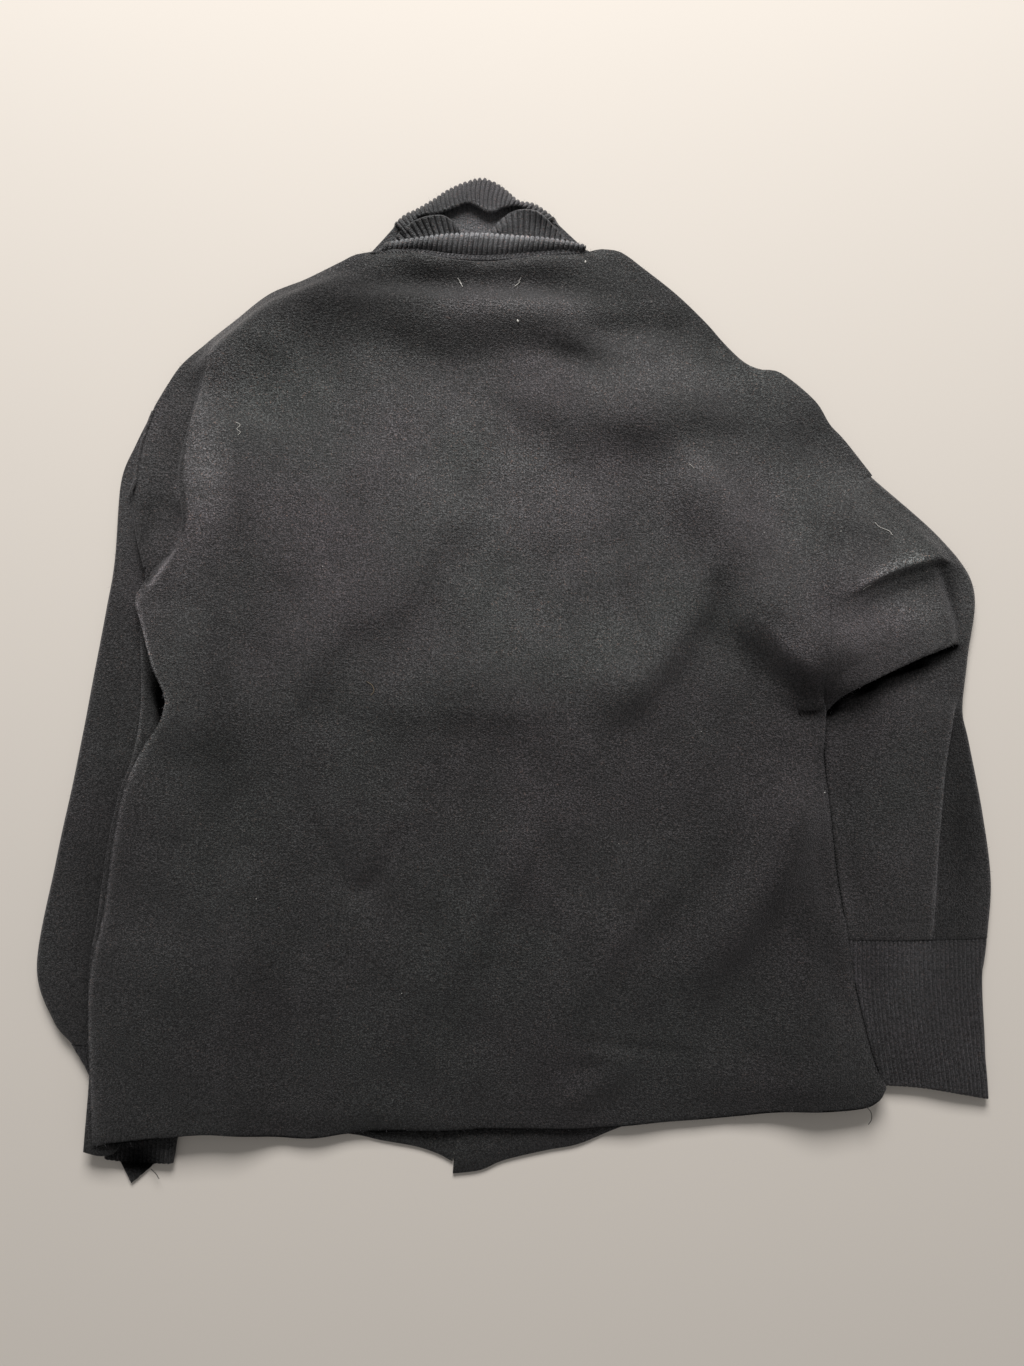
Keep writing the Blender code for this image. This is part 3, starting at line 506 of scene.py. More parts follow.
def garment_top(x, y):
    """Height of the folds on top of the whole garment, body and sleeves alike."""
    roll, tuck = (step_over(x, y, *step)[0] for step in SLEEVE_STEPS[:2])
    into_body = np.exp(-(np.clip(INTO_BODY[0] - x, 0.0, None) / INTO_BODY[1]) ** 2)
    return (folds(x, y) + roll * into_body + tuck) * roll_share(x, y)


print("loft in the middle of the back", round(float(garment_top(0.0, 0.0)), 2), "mm")

# %% [markdown]
# ## A panel as a closed shell
#
# Cloth has two faces and an edge. A grid of points gives the middle of the panel, its normals give
# both faces, and a few extra points turn the raw edge into a soft round one, because a square edge
# is what makes modelled cloth look like card. The UV map is in metres along the cloth, so a knit
# drawn on it keeps its gauge and follows the folds.

# %% Shell helpers
RIM_STEPS = 3                               # extra rows that round an edge
HALF_RIB = 2.0 * MM                         # a ridge on one face of a rib knit is a valley on the other
TINY = 1e-12                                # keeps a length of nothing from dividing by zero


def normals(grid):
    """Unit normals of a grid of points, up where rows run down the body and columns across it."""
    down = np.gradient(grid, axis=0)
    across = np.gradient(grid, axis=1)
    n = np.cross(down, across)
    return n / np.linalg.norm(n, axis=2)[:, :, None]


def quads(first, second):
    """The ring of faces between two rings of point numbers, or between each two in a stack."""
    ring = [first, np.roll(first, -1, axis=-1), np.roll(second, -1, axis=-1), second]
    return np.stack(ring, axis=-1).reshape(-1, 4)


def mark(thing, key, values):
    """Give each point of an object a number that materials and node trees can read."""
    attribute = thing.data.attributes.new(key, "FLOAT", "POINT")
    attribute.data.foreach_set("value", np.asarray(values, dtype=np.float32))


def read(thing, key="co"):
    """The place of each point of an object, or its normal, in rows of three."""
    values = np.empty(len(thing.data.vertices) * 3)
    thing.data.vertices.foreach_get(key, values)
    return values.reshape(-1, 3)


def finish_mesh(name, vertices, faces, uvs, marks=None):
    """An object in metres from points in millimetres, with a UV for each point and extra marks."""
    mesh = bpy.data.meshes.new(name)
    mesh.from_pydata((np.asarray(vertices, dtype=float) * MM).tolist(), [], faces)
    layer = mesh.uv_layers.new(name="knit")
    corners = np.empty(len(mesh.loops), dtype=np.int32)
    mesh.loops.foreach_get("vertex_index", corners)
    layer.data.foreach_set("uv", (np.asarray(uvs) * MM)[corners].astype(np.float32).ravel())
    thing = add_object(name, mesh)
    for key, values in (marks or {}).items():
        mark(thing, key, values)
    mesh.shade_smooth()
    return thing


def rounded_rim(middle, half, outward, bulge, first, last, start):
    """A soft edge between the cloth's two faces: its angles, its rings of points, and their faces."""
    angles = np.pi * np.arange(1, RIM_STEPS + 1) / (RIM_STEPS + 1)
    outward = outward / (np.linalg.norm(outward, axis=1)[:, None] + TINY)
    points = [middle + half * np.cos(angle) + outward * bulge * np.sin(angle) for angle in angles]
    rings = [first] + [start + k * len(first) + np.arange(len(first)) for k in range(RIM_STEPS)] + [last]
    return angles, points, [quads(*pair) for pair in zip(rings, rings[1:])]


def round_sheet(name, middle, uv, bulge=0.8, marks=None):
    """A panel thickened to both sides of its middle surface, with a soft round edge."""
    rows, columns = middle.shape[:2]
    count = rows * columns
    middle, n, uv = (a.reshape(count, -1) for a in (middle, normals(middle), uv))
    ids = np.arange(count).reshape(rows, columns)
    rim = np.concatenate([ids[0, :], ids[1:, -1], ids[-1, -2::-1], ids[-2:0:-1, 0]])
    ring = middle[rim]
    outward = np.cross(n[rim], np.roll(ring, -1, axis=0) - np.roll(ring, 1, axis=0))
    if np.sum(outward * (ring - middle.mean(axis=0))) < 0.0:
        outward = -outward
    _, soft, edge = rounded_rim(ring, n[rim] * WALL / 2, outward, bulge, rim, rim + count, 2 * count)
    upper = np.stack([ids[:-1, :-1], ids[1:, :-1], ids[1:, 1:], ids[:-1, 1:]], axis=-1).reshape(-1, 4)
    extra = {}
    for key, values in (marks or {}).items():
        flat = np.asarray(values).reshape(-1)
        behind = flat + (HALF_RIB if key == "across" else 0.0)
        extra[key] = np.concatenate([flat, behind] + [flat[rim] * (key == "across")] * RIM_STEPS)
    points = np.vstack([middle + n * WALL / 2, middle - n * WALL / 2] + soft)
    coordinates = np.vstack([uv, uv] + [uv[rim] + (0.0, 0.4 * k) for k in range(1, RIM_STEPS + 1)])
    faces = np.vstack([upper, upper[:, ::-1] + count] + edge).tolist()
    return finish_mesh(name, points, faces, coordinates, extra)


def patch(top, bottom, left, right):
    """Plan points filled in between four boundary curves that meet at their ends."""
    u = spread(top)[None, :, None]
    v = spread(left)[:, None, None]
    across = (1 - v) * top[None] + v * bottom[None]
    down = (1 - u) * left[:, None] + u * right[:, None]
    corners = ((1 - u) * (1 - v) * top[0] + u * (1 - v) * top[-1]
               + (1 - u) * v * bottom[0] + u * v * bottom[-1])
    return across + down - corners


def panel_side(armhole, edge, armhole_rows, edge_rows, sideways):
    """A panel's side: down the armhole, then down its free edge."""
    seam = offset(curve(armhole, even(armhole_rows + 1)), sideways)
    below = curve([tuple(seam[-1])] + edge[1:], even(edge_rows + 1))
    return np.vstack([seam, below[1:]])


def finer(shares, count):
    """The same uneven spacing with more steps."""
    return np.interp(np.linspace(0.0, len(shares) - 1.0, count + 1), np.arange(len(shares)), shares)


def spaced(count, first, middle, last):
    """Shares 0 to 1 whose steps grow from first to middle and shrink to last, as weights."""
    steps = np.interp(even(count - 1), [0.0, 0.4, 0.8, 1.0], [first, middle, middle, last])
    return np.append(0.0, np.cumsum(steps)) / steps.sum()


def triangles(thing):
    return sum(len(p.vertices) - 2 for p in thing.data.polygons)


print("an edge is rounded in", RIM_STEPS + 1, "steps")

# %% [markdown]
# ## The back
#
# The back is the largest panel and carries almost all of the folds. It is filled between its
# outlines in two fields that meet on the pleat's line, so that the grid runs along the pleat and can
# lie over itself there. Where it lies on a sleeve it climbs by the sleeve's thickness.

# %% Back panel
ARMHOLE_ROWS = 80
EDGE_ROWS = 144
NEAR_COLUMNS = 26
FAR_COLUMNS = 150
EDGE_DROOP, DROOP_REACH = 1.0, 7.0          # a free edge sinks a little
FREE_REACH = 12.0                           # beside the armhole's seam the pleat can't overhang
OUTLINE_POINTS = 2000


def edge_droop(x, y, edges):
    """How far a surface sinks next to its free edges."""
    away = np.min([np.abs(beside(x, y, edge)[0]) for edge in edges], axis=0)
    return EDGE_DROOP * (1.0 - smooth(away / DROOP_REACH))


def cut_at(line, point):
    """A fine line cut in two where it passes a point."""
    split = int(np.argmin(np.hypot(*(line - point).T)))
    return line[:split + 1], line[split:]


def back_panel():
    left = panel_side(LEFT_ARMHOLE, LEFT_EDGE, ARMHOLE_ROWS, EDGE_ROWS, SEAM_GAP)
    right = panel_side(RIGHT_ARMHOLE, RIGHT_EDGE, ARMHOLE_ROWS, EDGE_ROWS, -SEAM_GAP)
    beside_edge = [(x + GUIDE_MARGIN, y) for x, y in LEFT_EDGE[1:]]
    guide = curve([point[:2] for point in PLEAT[:-2]] + beside_edge, spread(left))
    crown = [tuple(left[0])] + LEFT_SHOULDER[1:] + NECK_EDGE[1:] + RIGHT_SHOULDER[1:-1]
    top_left, top_right = cut_at(curve(crown + [tuple(right[0])], even(OUTLINE_POINTS)), guide[0])
    hem_left, hem_right = cut_at(curve(BACK_HEM, even(OUTLINE_POINTS)), guide[-1])
    guide[0], guide[-1] = top_right[0], hem_right[0]
    near = finer([0.0, 0.34, 0.62, 0.84, 1.0], NEAR_COLUMNS)
    far = finer(spaced(22, 5.0, 28.0, 18.0), FAR_COLUMNS)
    field_left = patch(curve(top_left, near), curve(hem_left, near), left, guide)
    field_right = patch(curve(top_right, far), curve(hem_right, far), guide, right)
    plan = np.hstack([field_left[:, :-1], field_right])
    x, y = plan[:, :, 0], plan[:, :, 1]
    rise, dx, dy = step_over(x, y, *PLEAT_STEP)
    seam, _ = nearest(x, y, left[:ARMHOLE_ROWS + 1])
    free = smooth(np.abs(seam) / FREE_REACH)
    loft = (garment_top(x, y) + rise + ripples(x, y)) * shoulder_share(x, y)
    z = BODY_TOP - WALL / 2 + BACK_LIFT * over_sleeve(x, y) + loft
    z = z - edge_droop(x, y, [LEFT_EDGE, RIGHT_EDGE])
    return round_sheet("cloth_back", np.dstack([x + dx * free, y + dy * free, z]), plan)


back = back_panel()
print("back:", triangles(back), "triangles")

# %% [markdown]
# ## The fronts
#
# Underneath, the two fronts lie on the floor and only show beyond the back's hem and edges. They are
# filled the same way and keep to the floor, rising where they pass over a sleeve.

# %% Front panels
FRONT_ARMHOLE_ROWS = 40
FRONT_EDGE_ROWS = 76
FRONT_COLUMNS = 70


def front_height(x, y):
    """Middle of a front panel: on the floor, and up where it lies on a sleeve or meets the back."""
    edge = 1.0 - shoulder_share(x, y)
    climb = over_sleeve(x, y)
    return WALL / 2 + FRONT_LIFT * climb + SHOULDER_RISE * edge * (1.0 - climb)


def front_panel(name, top, hem, left, right):
    plan = patch(top, hem, left, right)
    z = front_height(plan[:, :, 0], plan[:, :, 1])
    return round_sheet(name, np.dstack([plan, z]), plan, bulge=0.5)


def front_panels():
    left = panel_side(LEFT_ARMHOLE, FRONT_LEFT_EDGE, FRONT_ARMHOLE_ROWS, FRONT_EDGE_ROWS, SEAM_GAP)
    right = panel_side(RIGHT_ARMHOLE, RIGHT_EDGE[:-1] + [FRONT_RIGHT_HEM[-1]], FRONT_ARMHOLE_ROWS,
                       FRONT_EDGE_ROWS, -SEAM_GAP)
    centre = curve(CENTRE_SEAM, spread(left))
    outward = finer(spaced(10, 10.0, 24.0, 18.0), FRONT_COLUMNS)
    inward = finer(spaced(10, 18.0, 24.0, 10.0), FRONT_COLUMNS)
    shoulder = [tuple(left[0])] + [(x, y - 1.0) for x, y in LEFT_SHOULDER[1:-1]]
    first = front_panel("cloth_front_left", curve(shoulder + FRONT_NECK_LEFT, outward),
                        curve(FRONT_LEFT_HEM, outward), left, centre)
    centre = centre + (SEAM_GAP, 0.0)
    centre[-1] = FRONT_RIGHT_HEM[0]
    shoulder = [(x, y - 1.0) for x, y in RIGHT_SHOULDER[1:-1]] + [tuple(right[0])]
    top = curve([tuple(centre[0])] + FRONT_NECK_RIGHT[1:] + shoulder, inward)
    return first, front_panel("cloth_front_right", top, curve(FRONT_RIGHT_HEM, inward), centre, right)


front_left, front_right = front_panels()
print("fronts:", triangles(front_left), triangles(front_right), "triangles")

# %% [markdown]
# ## Sleeves and cuffs
#
# A sleeve is a tube pressed flat. A row of plan lines gives its sections, from its inner edge to its
# outer one, and each section becomes a flattened ring. The right sleeve was pushed up while it was
# put down: a roll of its cloth hangs over the sleeve below it, and throws the deepest shadow of the
# whole garment.

# %% Tube tables
LEFT_SLEEVE = [
    LEFT_ARMHOLE[::-1],
    [(-292, 72), (-303, 106), (-309.5, 146), (-308, 168), (-303, 192)],
    [(-287, 58), (-300, 86), (-311, 126), (-316, 160)],
    [(-277, 34), (-298, 56), (-321, 98)],
    [(-262, 6), (-292, 26), (-328, 58)],
    [(-242, -40), (-285, -28), (-340, -4)],
    [(-232, -100), (-288, -92), (-353, -72)],
    [(-233, -160), (-300, -154), (-369, -146)],
    [(-240, -225), (-311, -227), (-384, -228)],
    [(-246, -264), (-306, -269), (-371, -272)],
    [(-248, -290), (-299, -295), (-356, -291)],
]
LEFT_CUFF = [
    [(-248, -290.8), (-299, -295.8), (-356, -291.8)],
    [(-256, -315), (-298, -319), (-342, -317)],
    [(-268, -350), (-299, -352), (-331, -351)],
    [(-274, -387), (-302, -386), (-330, -383)],
]
LEFT_CUFF_TONGUE = 19.0                     # the under side of this mouth reaches further than its upper side
TONGUE_SHARES = [-0.5, 0.25, 0.6]           # where it starts, comes to a point and ends, -1 to 1
RIGHT_SLEEVE = [
    RIGHT_ARMHOLE[::-1],
    [(248.4, -25), (262, 25), (286, 78), (320, 112), (344, 114)],
    [(248.8, -27), (286, 22), (328, 57), (370, 74)],
    [(249.5, -31), (289, -6), (327, 10), (365, 18)],
    [(247, -44), (296, -40), (361, -22)],
    [(243, -66), (301, -72), (366, -48)],
    [(246, -100), (311, -104), (377, -106)],
    [(252, -150), (316, -156), (384, -160)],
    [(261, -207), (320, -207), (381, -206)],
]
RIGHT_CUFF = [
    [(261, -207.8), (320, -207.8), (381, -206.8)],
    [(266, -240), (322, -241), (377, -242)],
    [(272, -285), (325, -286), (379, -287)],
    [(279, -323), (329, -326), (382, -335)],
]
# The right sleeve's outline, where its top is free to be lofted
RIGHT_SLEEVE_SIDE = [(287, 165), (344, 114), (370, 74), (365, 18), (361, -22), (366, -48), (384, -160)]
ROLL_FOOT = [(250, 360), (-50, -10)]        # x and y of a line just below the roll
ROLL_FOOT_FADE = 30.0
BODY_SIDE = [(-330, -24), (300, 252)]       # y and x of the body's side, which covers the sleeve
BODY_SIDE_FADE = 18.0
ARMHOLE_REACH = 45.0                        # beside the armhole the sleeve is level with the body
ARMHOLE_FOOT = (-24.0, 30.0)                # y above which it is, and over how far
SLEEVE_FREE = 10.0                          # beside its seam the roll can't overhang
SIDE_STEPS = 9                              # points that round each side of a flattened ring
SECTION_POINTS = 81
FLOOR_GAP = 0.3                             # the inner face keeps this far from the floor
RIM_BULGE = 0.7
print("left sleeve:", len(LEFT_SLEEVE), "sections; right sleeve:", len(RIGHT_SLEEVE))

# %% Tubes pressed flat
def ring_shares(count, half_width, height):
    """Points round a flattened ring: share across from -1 to 1, and height."""
    radius = height / 2
    flat = (half_width - radius) / half_width
    arc = np.radians(np.linspace(-80.0, 80.0, SIDE_STEPS))
    bulge = radius / half_width
    bottom = [(a, 0.0) for a in np.linspace(-flat, flat, count)]
    right = [(flat + np.cos(k) * bulge, radius + np.sin(k) * radius) for k in arc]
    top = [(a, height) for a in np.linspace(flat, -flat, count)]
    left = [(-a, height - h) for a, h in right]
    return np.array(bottom + right + top + left)


def section_loft(sections, rows):
    """Plan lines along a tube, smooth from section to section."""
    lines = np.array([curve(section, even(SECTION_POINTS)) for section in sections])
    shares = spread(lines[:, SECTION_POINTS // 2])
    stations = np.interp(even(rows), even(len(sections)), shares)
    stations = 0.8 * stations + 0.2 * even(rows)
    stacked = padded(lines.reshape(len(sections), -1))
    loft = []
    for s in stations:
        k = min(int(np.searchsorted(shares, s, side="right")) - 1, len(sections) - 2)
        loft.append(spline(stacked[k:k + 4], (s - shares[k]) / (shares[k + 1] - shares[k])))
    return np.array(loft).reshape(rows, SECTION_POINTS, 2)


def closed_normals(grid):
    """Unit normals of a grid whose columns run round a ring, pointing out of it."""
    across = np.roll(grid, -1, axis=1) - np.roll(grid, 1, axis=1)
    n = np.cross(np.gradient(grid, axis=0), across)
    n /= np.linalg.norm(n, axis=2)[:, :, None] + TINY
    outwards = np.sum(n * (grid - grid.mean(axis=1, keepdims=True)), axis=2).mean()
    return n if outwards > 0 else -n


def round_tube(name, outer, uv, marks=None):
    """An open-ended tube with a round edge at each mouth."""
    rows, around = outer.shape[:2]
    count = rows * around
    inner = outer - closed_normals(outer) * WALL
    inner[:, :, 2] = np.maximum(inner[:, :, 2], FLOOR_GAP)
    marks = {key: np.asarray(values) for key, values in (marks or {}).items()}
    ids = np.arange(count).reshape(rows, around)
    body = quads(ids[:-1], ids[1:])
    points = [outer.reshape(-1, 3), inner.reshape(-1, 3)]
    coordinates = [uv.reshape(-1, 2), uv.reshape(-1, 2)]
    faces = [body, body[:, ::-1] + count]
    extra = {key: [values.reshape(-1), values.reshape(-1) * 0.0] for key, values in marks.items()}
    for mouth, (row, beyond) in enumerate(((0, 1), (rows - 1, rows - 2))):
        angles, soft, edge = rounded_rim(
            (outer[row] + inner[row]) / 2, (outer[row] - inner[row]) / 2, outer[row] - outer[beyond],
            RIM_BULGE, ids[row], ids[row] + count, 2 * count + mouth * RIM_STEPS * around)
        points += soft
        coordinates += [uv[row]] * RIM_STEPS
        faces += [quad[:, ::-1] if row == 0 else quad for quad in edge]
        for key, values in marks.items():
            extra[key] += [values[row] * np.cos(angle / 2) for angle in angles]
    extra = {key: np.concatenate(values) for key, values in extra.items()}
    faces = np.vstack(faces).tolist()
    return point_outwards(finish_mesh(name, np.vstack(points), faces, np.vstack(coordinates), extra))


def point_outwards(thing):
    """Flip a closed shell whose faces point inwards."""
    mesh = thing.data
    mesh.calc_loop_triangles()
    corners = np.empty(len(mesh.loop_triangles) * 3, dtype=np.int32)
    mesh.loop_triangles.foreach_get("vertices", corners)
    a, b, c = read(thing)[corners.reshape(-1, 3)].transpose(1, 0, 2)
    if (a * np.cross(b, c)).sum() < 0.0:
        mesh.flip_normals()
    return thing


print("a flattened ring has", len(ring_shares(56, 50.0, SLEEVE_HEIGHT)), "points")

# %% Sleeves
def right_sleeve_top(x, y):
    """The folds go on from the body across the armhole; under the body the sleeve stays flat."""
    edge, _ = beside(x, y, RIGHT_SLEEVE_SIDE)
    above_roll = smooth((y - np.interp(x, *ROLL_FOOT)) / ROLL_FOOT_FADE)
    clear_of_body = smooth((x - np.interp(y, *BODY_SIDE)) / BODY_SIDE_FADE)
    rising = garment_top(x, y) * np.maximum(clear_of_body, above_roll)
    long_step, _, _ = step_over(x, y, *SLEEVE_STEPS[2])
    seam, _ = beside(x, y, RIGHT_ARMHOLE)
    (top, top_run), (foot, foot_run) = RIGHT_CLIMB, ARMHOLE_FOOT
    level = BACK_LIFT * smooth((top - y) / top_run) * np.exp(-(seam / ARMHOLE_REACH) ** 2)
    level = level * smooth((y - foot) / foot_run)
    return (rising + long_step + level) * smooth(np.abs(edge) / ROUND_END)


def no_folds(x, y):
    return np.zeros(np.shape(x))


def no_overhang(x, y):
    return no_folds(x, y), no_folds(x, y)


def roll_overhang(x, y):
    """The roll's plan shift on top of the right sleeve, none at the armhole."""
    dx, dy = no_overhang(x, y)
    for step in SLEEVE_STEPS:
        _, sideways, lengthways = step_over(x, y, *step)
        dx, dy = dx + sideways, dy + lengthways
    seam, _ = beside(x, y, RIGHT_ARMHOLE)
    free = smooth(np.abs(seam) / SLEEVE_FREE)
    return dx * free, dy * free
def tube_grid(sections, rows, count, height, top=no_folds, overhang=no_overhang, tongue=0.0):
    """Outer points of a flattened tube and their UV, along the cloth in millimetres."""
    fine = np.linspace(-1.0, 1.0, SECTION_POINTS)
    lines = section_loft(sections, rows)
    grid, uv = [], []
    for down, line, travelled in zip(even(rows), lines, run_along(lines[:, SECTION_POINTS // 2])):
        half = np.linalg.norm(np.diff(line, axis=0), axis=1).sum() / 2
        across, high = ring_shares(count, half, height).T
        x, y = (np.interp(across, fine, column) for column in line.T)
        raised = high / height
        point = np.interp(across, TONGUE_SHARES, [0.0, 1.0, 0.0])
        reach = tongue * down ** 3 * (1.0 - raised) * point
        dx, dy = overhang(x, y)
        lift = smooth((raised - 0.5) * 2.0)
        z = high + raised * (top(x, y) + 0.6 * ripples(x, y) * raised)
        grid.append(np.column_stack([x + dx * lift, y - reach + dy * lift, z]))
        uv.append(np.column_stack([across * half, np.full(len(across), -travelled)]))
    return np.array(grid), np.array(uv)


sleeve_left = round_tube("cloth_sleeve_left", *tube_grid(LEFT_SLEEVE, 110, 56, SLEEVE_HEIGHT))
sleeve_right = round_tube("cloth_sleeve_right", *tube_grid(RIGHT_SLEEVE, 130, 64, SLEEVE_HEIGHT,
                                                           right_sleeve_top, roll_overhang))
print("sleeves:", triangles(sleeve_left), triangles(sleeve_right), "triangles")

# %% [markdown]
# ## Ribs with Geometry Nodes
#
# A rib knit is rows of raised and sunken columns. Modelling each by hand would be hopeless, and a
# bump alone gives no scalloped edge. So the cuffs and the collar are made as smooth shells that carry
# a mark on each point, how far along the rim it lies, and a small node tree pushes the outer face out
# along its normal by a profile that repeats at the rib's pitch. Changing the gauge is one number.

# %% Helpers for Geometry Nodes
SOCKET_KINDS = {"Seed": "NodeSocketInt", "Material": "NodeSocketMaterial"}  # every other input is a number
IN_MILLIMETRES = ("Pitch", "Height", "Wander", "Length", "Thickness")


def new_tree(name, *inputs):
    """A geometry node tree with named inputs. Returns the tree and its inputs as Wires by name."""
    tree = bpy.data.node_groups.new(name, "GeometryNodeTree")
    tree.interface.new_socket("Geometry", in_out="INPUT", socket_type="NodeSocketGeometry")
    for key in (*inputs, "Material"):
        kind = SOCKET_KINDS.get(key, "NodeSocketFloat")
        tree.interface.new_socket(key, in_out="INPUT", socket_type=kind)
    tree.interface.new_socket("Geometry", in_out="OUTPUT", socket_type="NodeSocketGeometry")
    entry = tree.nodes.new("NodeGroupInput")
    return tree, {socket.name: Wire(socket) for socket in entry.outputs if socket.name}


def end_tree(tree, geometry, sizes):
    """Close a tree: realize what was instanced, give it its material, and output it."""
    real = node(tree, "GeometryNodeRealizeInstances", {"Geometry": geometry})
    painted = node(tree, "GeometryNodeSetMaterial", {"Geometry": real, "Material": sizes["Material"]})
    fill(tree.nodes.new("NodeGroupOutput"), {"Geometry": painted})
    return tree


def named(tree, name):
    """A number that was marked on each point."""
    return node(tree, "GeometryNodeInputNamedAttribute", {"Name": name}, data_type="FLOAT")


def scaled(tree, vector, factor):
    return node(tree, "ShaderNodeVectorMath", {"Vector": vector, "Scale": factor}, operation="SCALE")


def grow(thing, tree, name=None, **sizes):
    """Run a tree on an object and keep the result as its plain mesh, or as a new object with a name."""
    modifier = thing.modifiers.new("grow", "NODES")
    modifier.node_group = tree
    for item in tree.interface.items_tree:
        if item.name in sizes:
            size = sizes[item.name]
            modifier[item.identifier] = size * MM if item.name in IN_MILLIMETRES else size
    thing.update_tag()
    bpy.context.view_layer.update()
    graph = bpy.context.evaluated_depsgraph_get()
    mesh = bpy.data.meshes.new_from_object(thing.evaluated_get(graph))
    thing.modifiers.remove(modifier)
    if name is None:
        thing.data = mesh
        return thing
    mesh.name = name
    return add_object(name, mesh)


def rib_tree():
    """Push the marked face out in ribs. 'across' is a point's place along the rim in metres."""
    tree, sizes = new_tree("ribs", "Pitch", "Height", "Wander")
    wave = noise(tree, node(tree, "GeometryNodeInputPosition"), 70.0, 1.0)
    wandered = named(tree, "across") + (wave - 0.5) * sizes["Wander"]
    crown = 1.0 - wandered.from_middle(sizes["Pitch"]) ** 3.0
    lift = (crown - 0.6) * sizes["Height"] * named(tree, "outside")
    push = scaled(tree, node(tree, "GeometryNodeInputNormal"), lift)
    moved = node(tree, "GeometryNodeSetPosition", {"Geometry": sizes["Geometry"], "Offset": push})
    return end_tree(tree, moved, sizes)


ribs = rib_tree()
print("rib tree with", len(ribs.nodes), "nodes")

# %% [markdown]
# ## Cuffs
#
# The cuffs are long and ribbed lengthwise. The ribs are shallow, because the wool has felted: less than
# a millimetre from valley to crest. The left cuff shows just its mouth beyond the hem; the right one
# lies fully open to view.

# %% Cuffs
CUFF_RIB_PITCH = 3.5
CUFF_RIB_HEIGHT = 0.75


def cuff(name, sections, rows, count, tongue=0.0):
    grid, uv = tube_grid(sections, rows, count, CUFF_HEIGHT, tongue=tongue)
    marks = {"across": uv[:, :, 0] * MM, "outside": np.ones(uv.shape[:2])}
    return round_tube(name, grid, uv, marks)


cuff_left = cuff("cloth_cuff_left", LEFT_CUFF, 50, 116, LEFT_CUFF_TONGUE)
cuff_right = cuff("cloth_cuff_right", RIGHT_CUFF, 60, 160)
print("cuffs:", triangles(cuff_left), triangles(cuff_right), "triangles")

# %% [markdown]
# ## The collar
#
# The collar is a tall ribbed tube that fell open. Its back folds over just above the neck seam, its
# inner layer shows as two lobes with a dark V between them, and its front lies on the floor with its
# edge turned back as a lip. Each layer is a surface through a few plan lines at given heights.

# %% Collar tables
COLLAR_CREST = [(-103, 348.5), (-90, 350), (-70, 352), (-47, 354), (-22, 353.8), (4, 352.2), (26, 351),
                (44, 349), (57, 346.5)]
COLLAR_ROLL = [(-131, 341), (-109, 341), (-74, 343), (-45, 339), (-16, 338), (20, 341), (48, 343),
               (83, 340)]
LOBE_TOP = [(-97, 351), (-91, 360), (-82, 366), (-70, 369.5), (-58, 370.5), (-50, 367), (-42, 360),
            (-28, 357.5), (-19, 359), (-12, 366), (-3, 373), (8, 375), (19, 373), (30, 365), (45, 351)]
LOBE_FOOT = [(-88, 345), (-60, 349), (-38, 352), (-10, 351), (20, 349), (43, 345)]
COLLAR_FOOT = [(-122, 339), (-112, 320), (-86, 302), (-36, 292), (18, 295), (52, 309), (70, 337)]
FAR_EDGE = [(-94, 367), (-87, 373), (-78, 377), (-66, 384), (-52, 393), (-38, 399), (-26, 402),
            (-16, 399), (-6, 392), (3, 384), (14, 382), (22, 378), (31, 371)]
LIP_EDGE = [(-87, 358), (-81, 367), (-74, 373), (-60, 375), (-49, 379), (-38, 383), (-31, 381),
            (-22, 376), (-15, 376), (-9, 379), (1, 381), (9, 379), (17, 374), (25, 367)]
NECK_ROLL_RADIUS = 2.3
COLLAR_COLUMNS = 300
COLLAR_BULGE = 0.6
COLLAR_RIB_PITCH = 4.0
COLLAR_RIB_HEIGHT = 1.9
print("collar crest", round(float(COLLAR_CREST[-1][0] - COLLAR_CREST[0][0])), "mm wide")

# %% Surfaces through plan lines
def between(first, second, share, count=16):
    """A plan line part of the way from one line to another."""
    return curve(first, even(count)) * (1.0 - share) + curve(second, even(count)) * share


def surface_through(lines, heights, columns):
    """A surface through plan lines at given heights: one row of points for each line."""
    shares = even(columns)
    rows = []
    for line, height in zip(lines, heights):
        at = even(len(height))
        z = np.interp(shares, at, height)
        if len(height) > 2:
            z = 0.5 * z + 0.25 * (np.interp(shares - 0.03, at, height) + np.interp(shares + 0.03, at, height))
        rows.append(np.column_stack([curve(line, shares), z]))
    return np.array(rows)


def finer_rows(grid, count):
    """More rows, on smooth curves through the given ones, evenly spaced along the cloth."""
    columns = grid.shape[1]
    fine = splined(grid, 12)
    run = np.concatenate([np.zeros((1, columns)),
                          np.cumsum(np.linalg.norm(np.diff(fine, axis=0), axis=2), axis=0)])
    out = np.empty((count, columns, 3))
    for c in range(columns):
        want = np.linspace(0.0, run[-1, c], count)
        for axis in range(3):
            out[:, c, axis] = np.interp(want, run[:, c], fine[:, c, axis])
    return out, run[-1]


def collar_layer(name, lines, heights, rows, rim, ribbed=((0.0, 1.0), (1.0, 1.0))):
    """A collar layer whose ribs run across its rows, as strong as 'ribbed' says from row to row."""
    middle, lengths = finer_rows(surface_through(lines, heights, COLLAR_COLUMNS)[::-1], rows)
    across = run_along(curve(rim, even(COLLAR_COLUMNS)))
    down = even(rows)[:, None]
    strength = np.interp(down, *np.transpose(ribbed))
    across, down, strength = np.broadcast_arrays(across, down * lengths.mean(), strength)
    return round_sheet(name, middle, np.dstack([across, down]), COLLAR_BULGE,
                       {"across": across * MM, "outside": strength})


print("a collar layer has", COLLAR_COLUMNS, "points across")

